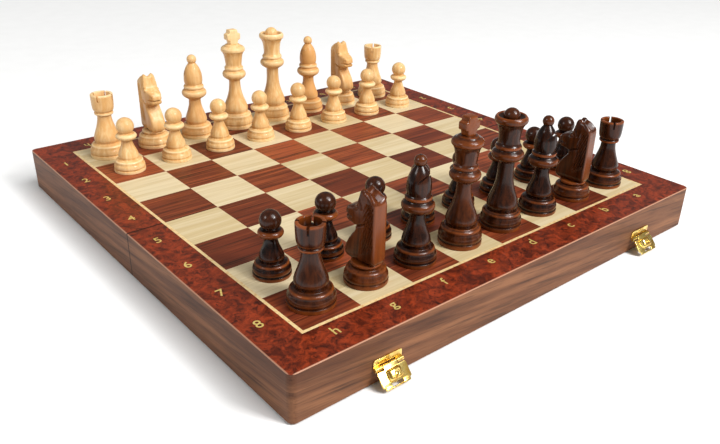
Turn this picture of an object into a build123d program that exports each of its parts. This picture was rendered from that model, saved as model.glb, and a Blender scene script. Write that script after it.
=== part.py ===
"""Folding chess set: a two-part hinged board box with two hasps, and thirty-two chessmen.

Millimetres, +Z up. The fold line runs along X through the origin, and the box opens flat with its
rims on Z = 0 and the playing surface up. The front half (ranks 5 to 8) lies towards -Y.
"""
import os

from build123d import *

# The board
SQUARE = 38.0
HALF_WIDTH = 178.0
HEIGHT = 30.0
VENEER = 0.6
STRINGING = 2.0
FIELD = 4 * SQUARE
BORDER_INNER = FIELD + STRINGING
FOLD_SETBACK = 0.15
CORNER_RADIUS = 4.0
ARRIS_RADIUS = 0.5

# The box under it
RAIL = 9.0
REBATE = 4.5
PANEL = 5.0
LINING = 0.8
PANEL_TOP = HEIGHT - VENEER
PANEL_BOTTOM = PANEL_TOP - PANEL

# The two fold hinges, on the line where the rims and the fold faces meet
HINGE_XS = (-112.0, 112.0)
BARREL_RADIUS = 1.3
MIDDLE_KNUCKLE_RADIUS = 1.25
BARREL_LENGTH = 36.0
KNUCKLE = 12.0
KNUCKLE_GAP = 0.3
PIN_RADIUS = 0.65
PIN_CLEARANCE = 0.05
LEAF_DEPTH = 7.5
LEAF_LOW = 0.15
LEAF_THICK = 0.8
LEAF_SCREW_XS = (-11.0, 11.0)
LEAF_SCREW_Y = 4.6
SCREW_HEAD_RADIUS = 1.5
SCREW_SHANK_RADIUS = 0.8
SCREW_LENGTH = 6.5

# The two hasp latches on the front face and their keepers on the rear face
LATCH_XS = (-117.5, 117.5)
LATCH_WIDTH = 19.5
LATCH_PIVOT_OUT = 1.5
LATCH_PIVOT_Z = 9.3
LATCH_KNUCKLE_RADIUS = 1.3
LATCH_KNUCKLE = 9.3
LATCH_PIN_RADIUS = 0.6
PLATE_TOP_Z = 14.8
PLATE_THICK = 0.8
HASP_TILT = 42.0
HASP_THICK = 1.0
HASP_NECK = 1.7
HASP_SHOULDER = 10.6
HASP_TONGUE = 17.0
HASP_LENGTH = 12.2
HASP_SLOT = (9.5, 11.3)
HASP_SLOT_WIDTH = 7.6
BOSS = (2.2, 8.8)
BOSS_WIDTH = 9.6
BOSS_HEIGHT = 2.6
LATCH_SCREW_Z = 12.7
KEEPER_WIDTH = 15.0
KEEPER_Z = (0.3, 8.8)
STAPLE_WIDTH = 7.0
STAPLE_Z = (0.3, 1.8)
STAPLE_OUT = 4.2
NAIL_XS = (-5.4, 5.4)
NAIL_Z = 5.6
NAIL_HEAD_RADIUS = 1.2
NAIL_SHANK_RADIUS = 0.6
NAIL_HEAD = 0.5
NAIL_LENGTH = 6.0

# The chessmen: base radius and overall height of each kind
PAWN = (11.3, 40.3)
ROOK = (13.6, 48.6)
KNIGHT = (12.9, 57.5)
BISHOP = (12.9, 67.0)
QUEEN = (13.6, 79.5)
KING = (13.8, 82.3)
KNIGHT_THICK = 11.6
KNIGHT_YAW = 8.0
SLIT_PLACE = (-2.6, 4.6, 55.0)
SLIT_TURN = 110.0
SLIT_LEAN = -48.0
FILES = "abcdefgh"
BACK_ROW = ("rook", "knight", "bishop", "queen", "king", "bishop", "knight", "rook")

os.makedirs("parts", exist_ok=True)


def save(shape, label):
    """Write one named piece."""
    shape.label = label
    export_step(shape, f"parts/{label}.step")


def half_outline():
    """The plan of the front half inside its outer faces, its two outer corners rounded."""
    with BuildSketch() as plan:
        with Locations((0, -(HALF_WIDTH + FOLD_SETBACK) / 2)):
            Rectangle(2 * HALF_WIDTH, HALF_WIDTH - FOLD_SETBACK)
        outer = plan.vertices().sort_by(Axis.Y)[:2]
        fillet(outer, CORNER_RADIUS)
    return plan.sketch


def wedge(points, outline):
    """One mitred strip of the half's plan, with the outline's rounded corner."""
    with BuildSketch() as strip:
        add(outline)
        with BuildLine():
            Polyline(*points, close=True)
        make_face(mode=Mode.INTERSECT)
    return strip.sketch


def strips(outer, inner, fold_inner):
    """Plan corners of mitred strips between two rectangles: left, front, right and fold side."""
    fold = -FOLD_SETBACK
    left = [(-outer, -outer), (-inner, -inner), (-inner, fold_inner), (-outer, fold)]
    front = [(-outer, -outer), (outer, -outer), (inner, -inner), (-inner, -inner)]
    right = [(outer, -outer), (outer, fold), (inner, fold_inner), (inner, -inner)]
    back = [(-outer, fold), (-inner, fold_inner), (inner, fold_inner), (outer, fold)]
    return left, front, right, back


def cylinder_x(radius, x0, x1, y, z):
    """A round bar along X."""
    bar = Cylinder(radius, x1 - x0, mode=Mode.PRIVATE)
    return Pos((x0 + x1) / 2, y, z) * Rot(0, 90, 0) * bar


def block(x0, x1, y0, y1, z0, z1):
    """A box between two corners."""
    box = Box(x1 - x0, y1 - y0, z1 - z0, mode=Mode.PRIVATE)
    return Pos((x0 + x1) / 2, (y0 + y1) / 2, (z0 + z1) / 2) * box


def countersunk(head_radius, shank_radius, length):
    """A flat-headed screw: its head's face on Z = 0, its shank towards +Z."""
    with BuildPart() as screw:
        with BuildSketch(Plane.XZ):
            with BuildLine():
                head = head_radius - shank_radius
                Polyline(
                    (0, 0),
                    (head_radius, 0),
                    (shank_radius, head),
                    (shank_radius, length - 1.2),
                    (0, length),
                    close=True,
                )
            make_face()
        revolve(axis=Axis.Z)
    return screw.part


OUTLINE = half_outline()
SCREW = countersunk(SCREW_HEAD_RADIUS, SCREW_SHANK_RADIUS, SCREW_LENGTH)
TO_REAR = Rot(0, 0, 180)
hinge_screws = [
    Pos(x + dx, -LEAF_SCREW_Y, LEAF_LOW) * SCREW for x in HINGE_XS for dx in LEAF_SCREW_XS
]

# Hinge mortise, leaf and barrel relief, cut from the rims beside the fold line
hinge_cuts = []
for x in HINGE_XS:
    reach = BARREL_LENGTH / 2
    mortise = block(x - reach, x + reach, -LEAF_DEPTH - 0.1, 0, -1, LEAF_LOW + LEAF_THICK)
    relief = cylinder_x(BARREL_RADIUS + 0.3, x - reach - 0.3, x + reach + 0.3, 0, 0)
    hinge_cuts += [mortise, relief]

# Latch screw in the front rail, keeper nails in the rear rail
FACE = -HALF_WIDTH
latch_screw_place = [
    Pos(x, FACE - PLATE_THICK, LATCH_SCREW_Z) * Rot(-90, 0, 0) * SCREW for x in LATCH_XS
]
with BuildPart() as nail:
    with Locations((0, 0, NAIL_LENGTH / 2)):
        Cylinder(NAIL_SHANK_RADIUS, NAIL_LENGTH)
    with Locations((0, 0, -NAIL_HEAD / 2)):
        Cylinder(NAIL_HEAD_RADIUS, NAIL_HEAD)
    rim = nail.edges().filter_by(GeomType.CIRCLE).sort_by(Axis.Z)[0]
    fillet(rim, 0.4)
keeper_nails = [
    Pos(x + dx, FACE - PLATE_THICK, NAIL_Z) * Rot(-90, 0, 0) * nail.part
    for x in LATCH_XS
    for dx in NAIL_XS
]


def rails(fixings):
    """The four mitred walls of one half, rebated for the panel and cut for its fittings."""
    bars = []
    inner = HALF_WIDTH - RAIL
    for points in strips(HALF_WIDTH, inner, -FOLD_SETBACK - RAIL):
        with BuildPart() as bar:
            with BuildSketch():
                add(wedge(points, OUTLINE))
            extrude(amount=PANEL_TOP)
            reach = HALF_WIDTH - RAIL + REBATE
            top = -FOLD_SETBACK - RAIL + REBATE
            add(block(-reach, reach, -reach, top, PANEL_BOTTOM, HEIGHT), mode=Mode.SUBTRACT)
            for cut in hinge_cuts + hinge_screws + fixings:
                add(cut, mode=Mode.SUBTRACT)
        bars.append(bar.part)
    return Compound(children=bars)


def square_tiles(dark):
    """Sixteen veneer squares of one colour in the front half; the corner square at -X is dark."""
    tiles = []
    for column in range(8):
        for row in range(4):
            if ((column + row) % 2 == 0) == dark:
                x = -FIELD + column * SQUARE
                y = -FIELD + row * SQUARE
                far = min(y + SQUARE, -FOLD_SETBACK)
                tiles.append(block(x, x + SQUARE, y, far, PANEL_TOP, HEIGHT))
    return Compound(children=tiles)


def flat_strips(outer, inner, rounded):
    """Three mitred strips of veneer around the front half's open sides."""
    pieces = []
    for points in strips(outer, inner, -FOLD_SETBACK)[:3]:
        with BuildPart() as strip:
            with BuildSketch(Plane.XY.offset(PANEL_TOP)):
                add(wedge(points, OUTLINE))
            extrude(amount=VENEER)
            if rounded:
                reach = HALF_WIDTH - CORNER_RADIUS - 1
                rim = strip.edges().group_by(Axis.Z)[-1]
                side = rim.filter_by(lambda e: max(abs(e.center().X), -e.center().Y) > reach)
                fillet(side, ARRIS_RADIUS)
        pieces.append(strip.part)
    return Compound(children=pieces)


def hinge_leaves(outer_knuckles):
    """Two fold-hinge leaves with their knuckles; the front leaves carry the outer ones."""
    leaves = []
    for x in HINGE_XS:
        half = BARREL_LENGTH / 2
        middle = KNUCKLE / 2
        if outer_knuckles:
            spans = ((-half, -middle - KNUCKLE_GAP), (middle + KNUCKLE_GAP, half))
            radius = BARREL_RADIUS
            bore = PIN_RADIUS
        else:
            spans = ((-middle, middle),)
            radius = MIDDLE_KNUCKLE_RADIUS
            bore = PIN_RADIUS + PIN_CLEARANCE
        with BuildPart() as leaf:
            high = LEAF_LOW + LEAF_THICK
            clear = BARREL_RADIUS + 0.3
            add(block(x - half, x + half, -LEAF_DEPTH, -clear, LEAF_LOW, high))
            for x0, x1 in spans:
                add(block(x + x0, x + x1, -clear, -0.4, LEAF_LOW, high))
                add(cylinder_x(radius, x + x0, x + x1, 0, 0))
            for place in hinge_screws:
                add(place, mode=Mode.SUBTRACT)
            add(cylinder_x(bore, x - 40, x + 40, 0, 0), mode=Mode.SUBTRACT)
        leaves.append(leaf.part)
    return Compound(children=leaves)


# The front half, and the rear half turned half a turn about Z from the same pieces
PANEL_REACH = HALF_WIDTH - RAIL + REBATE
panel = block(
    -PANEL_REACH, PANEL_REACH, -PANEL_REACH, -FOLD_SETBACK - RAIL + REBATE, PANEL_BOTTOM, PANEL_TOP
)
inside = HALF_WIDTH - RAIL
lining = block(-inside, inside, -inside, -FOLD_SETBACK - RAIL, PANEL_BOTTOM - LINING, PANEL_BOTTOM)
shared = {
    "panel": panel,
    "border_veneer": flat_strips(HALF_WIDTH, BORDER_INNER, True),
    "stringing": flat_strips(BORDER_INNER, FIELD, False),
    "light_squares": square_tiles(False),
    "dark_squares": square_tiles(True),
    "tray_lining": lining,
    "hinge_screws": Compound(children=list(hinge_screws)),
}
for name, shape in shared.items():
    save(shape, f"front_{name}")
    save(TO_REAR * shape, f"rear_{name}")
save(rails(latch_screw_place), "front_rails")
save(TO_REAR * rails(keeper_nails), "rear_rails")
save(hinge_leaves(True), "front_hinge_leaves")
save(TO_REAR * hinge_leaves(False), "rear_hinge_leaves")
reach = BARREL_LENGTH / 2
pins = [cylinder_x(PIN_RADIUS, x - reach, x + reach, 0, 0) for x in HINGE_XS]
save(Compound(children=pins), "fold_hinge_pins")

# Latch plates with two outer knuckles each, their pins and screws
PIVOT_Y = FACE - LATCH_PIVOT_OUT
plates = []
latch_pins = []
for x in LATCH_XS:
    half = LATCH_WIDTH / 2
    middle = LATCH_KNUCKLE / 2
    with BuildPart() as plate:
        add(block(x - half, x + half, FACE - PLATE_THICK, FACE, LATCH_PIVOT_Z + 1.6, PLATE_TOP_Z))
        for x0, x1 in ((-half, -middle - KNUCKLE_GAP), (middle + KNUCKLE_GAP, half)):
            low = LATCH_PIVOT_Z
            add(block(x + x0, x + x1, FACE - PLATE_THICK, FACE, low, LATCH_PIVOT_Z + 1.6))
            add(cylinder_x(LATCH_KNUCKLE_RADIUS, x + x0, x + x1, PIVOT_Y, LATCH_PIVOT_Z))
        add(cylinder_x(LATCH_PIN_RADIUS, x - 20, x + 20, PIVOT_Y, LATCH_PIVOT_Z), mode=Mode.SUBTRACT)
        for place in latch_screw_place:
            add(place, mode=Mode.SUBTRACT)
        tops = plate.edges().filter_by(Axis.Y).group_by(Axis.Z)[-1]
        fillet(tops, 1.2)
    plates.append(plate.part)
    latch_pins.append(cylinder_x(LATCH_PIN_RADIUS, x - half, x + half, PIVOT_Y, LATCH_PIVOT_Z))
save(Compound(children=plates), "latch_plates")
save(Compound(children=latch_pins), "latch_pins")
save(Compound(children=list(latch_screw_place)), "latch_screws")

# One hasp, drawn hanging straight down from its pivot at the origin with its face towards -Y
with BuildPart() as hasp:
    with BuildSketch(Plane(origin=(0, -0.3, 0), x_dir=(1, 0, 0), z_dir=(0, -1, 0))):
        with Locations((0, -HASP_NECK / 2)):
            Rectangle(LATCH_KNUCKLE, HASP_NECK)
        with Locations((0, -(HASP_NECK + HASP_LENGTH) / 2)):
            Rectangle(HASP_TONGUE, HASP_LENGTH - HASP_NECK)
        with Locations((0, -(HASP_NECK + HASP_SHOULDER) / 2)):
            RectangleRounded(LATCH_WIDTH, HASP_SHOULDER - HASP_NECK, 1.2)
        with Locations((0, -(HASP_SLOT[0] + HASP_SLOT[1]) / 2)):
            Rectangle(HASP_SLOT_WIDTH, HASP_SLOT[1] - HASP_SLOT[0], mode=Mode.SUBTRACT)
    extrude(amount=HASP_THICK)
    tip = hasp.edges().filter_by(Axis.Y).group_by(Axis.Z)[0]
    fillet(tip, 1.4)
    add(cylinder_x(LATCH_KNUCKLE_RADIUS, -LATCH_KNUCKLE / 2, LATCH_KNUCKLE / 2, 0, 0))
    add(cylinder_x(LATCH_PIN_RADIUS + PIN_CLEARANCE, -20, 20, 0, 0), mode=Mode.SUBTRACT)
with BuildPart() as boss:
    face_y = -0.3 - HASP_THICK
    width = BOSS_WIDTH / 2
    add(block(-width, width, face_y - BOSS_HEIGHT, face_y + 0.2, -BOSS[1], -BOSS[0]))
    outer_edges = boss.faces().sort_by(Axis.Y)[0].edges()
    fillet(outer_edges, 1.6)
    with Locations((0, face_y - BOSS_HEIGHT - 0.5, -(BOSS[0] + BOSS[1]) / 2)):
        Sphere(1.0, mode=Mode.SUBTRACT)
for name, x in zip(("hasp_left", "hasp_right"), LATCH_XS):
    with BuildPart() as placed:
        add(Pos(x, PIVOT_Y, LATCH_PIVOT_Z) * Rot(-HASP_TILT, 0, 0) * hasp.part)
        add(Pos(x, PIVOT_Y, LATCH_PIVOT_Z) * Rot(-HASP_TILT, 0, 0) * boss.part)
    save(placed.part, name)

# Keepers with the staple that stands through a closed hasp's slot
keepers = []
for x in LATCH_XS:
    half = KEEPER_WIDTH / 2
    staple = STAPLE_WIDTH / 2
    with BuildPart() as keeper:
        add(block(x - half, x + half, FACE - PLATE_THICK, FACE, *KEEPER_Z))
        tops = keeper.edges().filter_by(Axis.Y).group_by(Axis.Z)[-1]
        fillet(tops, 1.2)
        add(block(x - staple, x + staple, FACE - STAPLE_OUT, FACE - 0.2, *STAPLE_Z))
        for place in keeper_nails:
            add(place, mode=Mode.SUBTRACT)
    keepers.append(keeper.part)
save(TO_REAR * Compound(children=keepers), "latch_keepers")
save(TO_REAR * Compound(children=list(keeper_nails)), "keeper_nails")


def turned(segments):
    """A piece turned about Z: two points draw a line, three an arc, more a spline."""
    with BuildPart() as body:
        with BuildSketch(Plane.XZ):
            with BuildLine():
                for points in segments:
                    if len(points) == 2:
                        Line(*points)
                    elif len(points) == 3:
                        ThreePointArc(*points)
                    else:
                        Spline(*points)
                Line(segments[-1][-1], segments[0][0])
            make_face()
        revolve(axis=Axis.Z)
    return body.part


def chained(*steps):
    """Join steps end to end: each step lists the points after the last one's end."""
    segments = []
    end = (0, 0)
    for step in steps:
        segments.append([end, *step])
        end = step[-1]
    return segments


def foot(radius, top, shoulder, waist):
    """The turned foot all the men share: plinth, groove, dome and the groove over it."""
    return (
        [(radius - 0.5, 0)],
        [(radius, 0.5)],
        [(radius, 0.22 * top)],
        [(radius - 0.6, 0.25 * top)],
        [(radius - 0.6, 0.29 * top)],
        [(radius - 0.2, 0.46 * top), (radius - 1.1, 0.7 * top)],
        [((radius + shoulder) / 2 + 0.1, 0.88 * top), (shoulder, top)],
        [(waist, top + 0.2)],
        [(waist, top + 0.6)],
    )


def collar(rim, z, neck):
    """A thick rounded collar whose rim is at height z, over a neck of the given radius."""
    return (
        [(neck + 1.1, z - 4.7)],
        [(rim - 1.6, z - 2.9)],
        [(rim, z), (rim - 1.5, z + 2.6)],
        [(rim - 2.5, z + 3.6)],
        [(rim - 1.9, z + 5.0), (rim - 2.5, z + 6.4)],
    )


def make_pawn():
    """A pawn: foot, bulb, thick collar and ball."""
    radius, top = PAWN
    ball = 6.3
    join = 4.2
    low = top - ball - (ball**2 - join**2) ** 0.5
    return turned(
        chained(
            *foot(radius, 9.4, 8.0, 7.0),
            [(7.3, 11.8), (6.6, 14.5), (5.0, 18.2), (4.0, 21.4), (3.8, 23.4)],
            [(4.6, 23.8)],
            [(6.7, 25.0)],
            [(7.5, 26.6), (6.6, 28.2)],
            [(4.8, 28.9)],
            [(join, low)],
            [(ball, top - ball), (0, top)],
        )
    )


def make_rook():
    """A rook: foot, bulb, bead and a hollow-topped turret with four slits."""
    radius, top = ROOK
    profile = chained(
        *foot(radius, 10.8, 9.8, 8.7),
        [(9.5, 14.0), (9.0, 17.0), (6.9, 22.8), (5.5, 28.0), (5.1, 32.2)],
        [(5.9, 32.6)],
        [(7.0, 33.8), (6.4, 35.0)],
        [(6.6, 35.4)],
        [(7.5, 36.8), (7.9, 39.0)],
        [(8.2, top - 0.4)],
        [(7.8, top)],
        [(6.2, top)],
        [(5.9, 43.2)],
        [(0, 43.2)],
    )
    body = turned(profile)
    with BuildPart() as rook:
        add(body)
        with Locations((0, 0, top - 2.8)):
            Box(20, 1.3, 5.6, rotation=(0, 0, 45), mode=Mode.SUBTRACT)
            Box(20, 1.3, 5.6, rotation=(0, 0, -45), mode=Mode.SUBTRACT)
    return rook.part


def make_bishop():
    """A bishop: foot, bulb, collar, mitre with its slanting slit, and a ball."""
    radius, top = BISHOP
    ball = 3.8
    join = 2.7
    low = top - ball - (ball**2 - join**2) ** 0.5
    profile = chained(
        *foot(radius, 10.6, 9.2, 8.0),
        [(8.7, 13.6), (8.1, 16.6), (6.3, 21.6), (5.0, 26.6), (4.8, 30.8)],
        *collar(9.9, 36.2, 4.8),
        [(7.35, 46.6), (7.0, 51.8), (5.0, 57.2), (join, low)],
        [(ball, top - ball), (0, top)],
    )
    body = turned(profile)
    with BuildPart() as bishop:
        add(body)
        with Locations(Pos(*SLIT_PLACE) * Rot(0, 0, SLIT_TURN) * Rot(0, SLIT_LEAN, 0)):
            Box(9, 20, 1.0, mode=Mode.SUBTRACT)
    return bishop.part


def make_queen():
    """A queen: foot, bulb, collar, flared crown with a rolled rim and a ball."""
    radius, top = QUEEN
    ball = 5.2
    join = 4.9
    low = top - ball - (ball**2 - join**2) ** 0.5
    return turned(
        chained(
            *foot(radius, 12.2, 10.6, 9.3),
            [(10.1, 15.8), (9.4, 19.4), (7.2, 25.4), (5.6, 32.0), (5.1, 39.0), (5.1, 44.4)],
            *collar(10.2, 49.8, 5.1),
            [(7.2, 56.9)],
            [(6.8, 60.5), (7.4, 65.6), (9.0, 69.2)],
            [(10.4, 72.2), (9.0, 75.0)],
            [(6.2, low)],
            [(join, low)],
            [(ball, top - ball), (0, top)],
        )
    )


def make_king():
    """A king: foot, bulb, collar, crown with a heavy rim, and a stout cross with flared arms."""
    radius, top = KING
    profile = chained(
        *foot(radius, 12.6, 10.6, 9.2),
        [(10.0, 16.2), (9.2, 19.8), (6.9, 25.6), (5.3, 31.6), (4.7, 37.0), (4.7, 40.3)],
        *collar(9.7, 45.6, 4.7),
        [(6.8, 52.6)],
        [(6.9, 56.4), (7.5, 60.6), (8.8, 63.8)],
        [(9.9, 66.1), (8.4, 68.5)],
        [(6.9, 69.1)],
        [(5.0, 70.4), (3.0, 70.8)],
        [(0, 70.8)],
    )
    body = turned(profile)
    side = [(3.2, 70.2), (3.7, 72.2), (4.0, 73.6), (6.1, 74.4), (6.1, 78.9), (3.9, 79.6)]
    side += [(3.5, top)]
    with BuildPart() as cross:
        with BuildSketch(Plane.XZ):
            with BuildLine():
                Polyline(*side, *[(-x, z) for x, z in reversed(side)], close=True)
            make_face()
        extrude(amount=3.3, both=True)
        faces = cross.faces().filter_by(Axis.Y)
        chamfer(faces.edges(), 0.6)
    with BuildPart() as king:
        add(body)
        add(cross.part)
    return king.part


def make_knight():
    """A knight facing -Y: turned foot and a slab-sided carved horse with a straight back."""
    radius, top = KNIGHT
    half = KNIGHT_THICK / 2
    base = turned(
        chained(
            *foot(radius, 10.2, 9.2, 8.0),
            [(8.9, 11.8), (8.2, 13.0)],
            [(0, 13.0)],
        )
    )
    with BuildPart() as horse:
        with BuildSketch(Plane.YZ.offset(-half)):
            with BuildLine():
                Polyline((5.4, 12.4), (9.6, 14.4), (9.6, 48.5))
                Spline((9.6, 48.5), (7.6, 53.0), (4.6, 55.4), (2.4, 56.2))
                Polyline((2.4, 56.2), (0.8, top), (-1.8, 55.8), (-3.2, 48.6), (-5.4, 46.2))
                Polyline((-5.4, 46.2), (-11.4, 44.0), (-12.9, 41.0), (-12.3, 37.2))
                Polyline((-12.3, 37.2), (-10.6, 35.6), (-5.4, 35.0), (-4.2, 33.0))
                Spline((-4.2, 33.0), (-7.6, 28.2), (-11.0, 22.6), (-12.2, 18.0), (-11.0, 14.4))
                Polyline((-11.0, 14.4), (-7.6, 12.4), (5.4, 12.4))
            make_face()
        extrude(amount=KNIGHT_THICK)
        fillet(horse.edges().filter_by(Axis.Z), 1.2)
        for side in (-1, 1):
            with Locations(Pos(side * (half + 2.8), -11.0, 44.0) * Rot(0, 0, side * 18)):
                Box(8, 26, 30, mode=Mode.SUBTRACT)
        with Locations((0, -1.0, top)):
            Box(2.6, 12, 6.4, mode=Mode.SUBTRACT)
        with Locations((0, -9.0, 38.2)):
            Box(KNIGHT_THICK, 5.2, 0.8, rotation=(-14, 0, 0), mode=Mode.SUBTRACT)
        add(base)
    return horse.part


MEN = {
    "pawn": make_pawn(),
    "rook": make_rook(),
    "knight": make_knight(),
    "bishop": make_bishop(),
    "queen": make_queen(),
    "king": make_king(),
}


def stand(colour, kind, file, rank, turn):
    """Stand one man in the middle of its square."""
    x = FIELD - (file + 0.5) * SQUARE
    y = FIELD - (rank - 0.5) * SQUARE
    save(Pos(x, y, HEIGHT) * Rot(0, 0, turn) * MEN[kind], f"{colour}_{kind}_{FILES[file]}{rank}")


for file, kind in enumerate(BACK_ROW):
    stand("white", kind, file, 1, 0)
    stand("white", "pawn", file, 2, 0)
    stand("black", "pawn", file, 7, 180)
    stand("black", kind, file, 8, 180 + KNIGHT_YAW if kind == "knight" else 180)
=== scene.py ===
import functools
import math

import bmesh
import bpy
import numpy as np
from bpy.props import FloatProperty, FloatVectorProperty, IntProperty, PointerProperty
from mathutils import Matrix, Vector
from mathutils.geometry import delaunay_2d_cdt


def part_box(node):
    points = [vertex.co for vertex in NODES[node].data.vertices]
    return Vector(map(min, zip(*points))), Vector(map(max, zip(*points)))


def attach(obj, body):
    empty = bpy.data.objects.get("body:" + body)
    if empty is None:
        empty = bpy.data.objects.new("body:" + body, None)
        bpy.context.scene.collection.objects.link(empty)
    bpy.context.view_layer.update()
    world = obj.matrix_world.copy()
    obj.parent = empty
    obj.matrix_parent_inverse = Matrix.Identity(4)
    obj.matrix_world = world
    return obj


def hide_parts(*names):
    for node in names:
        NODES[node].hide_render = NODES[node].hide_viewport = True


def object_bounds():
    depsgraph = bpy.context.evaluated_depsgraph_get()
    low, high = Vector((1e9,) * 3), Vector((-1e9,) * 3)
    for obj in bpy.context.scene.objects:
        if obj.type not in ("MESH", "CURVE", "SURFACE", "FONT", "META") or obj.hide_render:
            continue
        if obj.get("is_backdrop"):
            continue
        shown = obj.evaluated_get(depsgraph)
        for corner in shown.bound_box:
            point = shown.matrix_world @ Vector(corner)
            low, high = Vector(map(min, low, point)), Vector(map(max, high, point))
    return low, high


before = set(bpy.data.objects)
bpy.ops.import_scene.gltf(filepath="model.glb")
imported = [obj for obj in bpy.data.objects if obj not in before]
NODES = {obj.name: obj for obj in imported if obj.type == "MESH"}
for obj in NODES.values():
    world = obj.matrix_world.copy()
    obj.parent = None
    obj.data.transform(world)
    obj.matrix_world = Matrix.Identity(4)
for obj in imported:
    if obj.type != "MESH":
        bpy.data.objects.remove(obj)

bl_info = {
    "name": "Folding chess set",
    "version": (1, 0, 0),
    "blender": (4, 5, 0),
    "location": "3D View > Sidebar > Chess set",
    "description": "Dresses a folding chess box: veneers, brass fittings, gilt coordinates and turned men",
    "category": "Object",
}

MM = 0.001
HALVES = {"front": "front_half", "rear": "rear_half"}
BOARD_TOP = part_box("front_light_squares")[1].z
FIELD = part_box("front_light_squares")[1].x
HALF_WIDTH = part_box("front_rails")[1].x
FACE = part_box("front_rails")[0].y
SQUARE = FIELD / 4


def linear(colour):
    """An sRGB hex colour as linear red, green and blue."""
    channels = [int(colour[i:i + 2], 16) / 255 for i in (1, 3, 5)]
    return [c / 12.92 if c <= 0.04045 else ((c + 0.055) / 1.055) ** 2.4 for c in channels]


def colour_property(name, description, colour):
    """A colour that a user may change, given as sRGB hex."""
    return FloatVectorProperty(name=name, description=description, subtype="COLOR", size=3, min=0, max=1,
                               default=linear(colour))


def add_node(tree, kind, links=None, out=0, **settings):
    """Add a node, set its properties, set or link its inputs, and return one of its outputs."""
    node = tree.nodes.new(kind)
    for name, value in settings.items():
        setattr(node, name, value)
    for key, value in (links or {}).items():
        socket = node.inputs[key]
        if isinstance(value, bpy.types.NodeSocket):
            tree.links.new(value, socket)
        elif socket.type == "RGBA":
            socket.default_value = (*value, 1)
        else:
            socket.default_value = value
    return node.outputs[out] if node.outputs else None


# ---------------------------------------------------------------- settings


class ChessBoardSettings(bpy.types.PropertyGroup):
    """Finishes of the box and its fittings, and the size of the coordinates."""

    walnut_light: colour_property("Walnut, light", "Pale bands of the walnut rails", "#86593b")
    walnut_dark: colour_property("Walnut, dark", "Dark bands of the walnut rails", "#593521")
    walnut_streak: colour_property("Walnut streak", "Thin dark streaks along the rails", "#301c12")
    border_red: colour_property("Bubinga, red", "Bright parts of the border's figure", "#8f3517")
    border_deep: colour_property("Bubinga, deep", "Ground of the border veneer", "#4c1808")
    # Also the colour of the painted shade along the fold
    border_figure: colour_property("Bubinga figure", "Near-black figure in the border", "#240904")
    # Colour of a painted highlight along the board's rounded outer edge, partly the paler wood there
    arris: colour_property("Arris highlight and pale edge", "Edge of the board where the veneer is sanded thin", "#b98a6d")
    light_pale: colour_property("Light square, pale", "Pale bands of a light square", "#d8c7a2")
    light_main: colour_property("Light square", "Ground of a light square", "#c6b185")
    light_line: colour_property("Light square, line", "Grain lines of a light square", "#ad9063")
    dark_pale: colour_property("Dark square, pale", "Pale bands of a dark square", "#9c4b29")
    dark_main: colour_property("Dark square", "Ground of a dark square", "#662a15")
    dark_line: colour_property("Dark square, line", "Grain lines of a dark square", "#2a1007")
    stringing_pale: colour_property("Stringing, pale", "Pale parts of the stringing", "#e0c690")
    stringing_warm: colour_property("Stringing, warm", "Warm parts of the stringing", "#cc9a5e")
    brass_bright: colour_property("Brass, bright", "Rubbed brass", "#f7dc86")
    brass_deep: colour_property("Brass, deep", "Brass in its hollows", "#c99a3e")
    gold: colour_property("Gold", "Stamped coordinates", "#fbe28a")
    gold_worn: colour_property("Gold, worn", "Worn parts of the stamped coordinates", "#e3bd5b")
    cap_height: FloatProperty(name="Cap height", description="Height of a coordinate's tall strokes",
                              default=7.0 * MM, min=0, unit="LENGTH")
    boldness: FloatProperty(name="Boldness", description="How far each side of a stroke is let out",
                            default=0.008, min=-0.1, max=0.1)
    letter_line: FloatProperty(name="Letter line", description="Letters' distance from the board's middle",
                               default=HALF_WIDTH - 16.6 * MM, unit="LENGTH")
    letter_pitch: FloatProperty(name="Letter pitch", description="Step between letters", default=38.9 * MM,
                                unit="LENGTH")
    letter_shift: FloatProperty(name="Letter shift", description="How far the letters sit towards the h-file",
                                default=3.0 * MM, unit="LENGTH")
    number_line: FloatProperty(name="Number line", description="Numbers' distance from the board's middle",
                               default=HALF_WIDTH - 11.3 * MM, unit="LENGTH")


class ChessMenSettings(bpy.types.PropertyGroup):
    """How finely the men are turned, and their two woods."""

    segments: IntProperty(name="Segments", description="Facets round a turned man", default=80, min=24)
    box_pale: colour_property("Boxwood, pale", "Pale grain of the light men", "#efce98")
    box_main: colour_property("Boxwood", "Ground of the light men", "#dcab6c")
    box_deep: colour_property("Boxwood, deep", "Deeper grain of the light men", "#c08a4e")
    # Colour of the rubbed crests, also painted on the knights' backs as painted light
    box_worn: colour_property("Boxwood, crest", "Crests of the light men", "#f4d7a4")
    box_warm: colour_property("Boxwood, heartwood", "Man cut from warmer wood", "#cf8f4a")
    stain_pale: colour_property("Stain, pale", "Thin places in the dark men's stain", "#3a1a0b")
    stain_main: colour_property("Stain", "Ground of the dark men's stain", "#100503")
    stain_deep: colour_property("Stain, deep", "Deepest parts of the stain", "#040202")
    # Colour of the rubbed crests, also painted on the knights' backs as painted light
    stain_worn: colour_property("Stain, crest", "Crests of the dark men", "#864318")
    stain_thin: colour_property("Stain, thin coat", "Man with a thinner coat of stain", "#6e3512")


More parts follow.
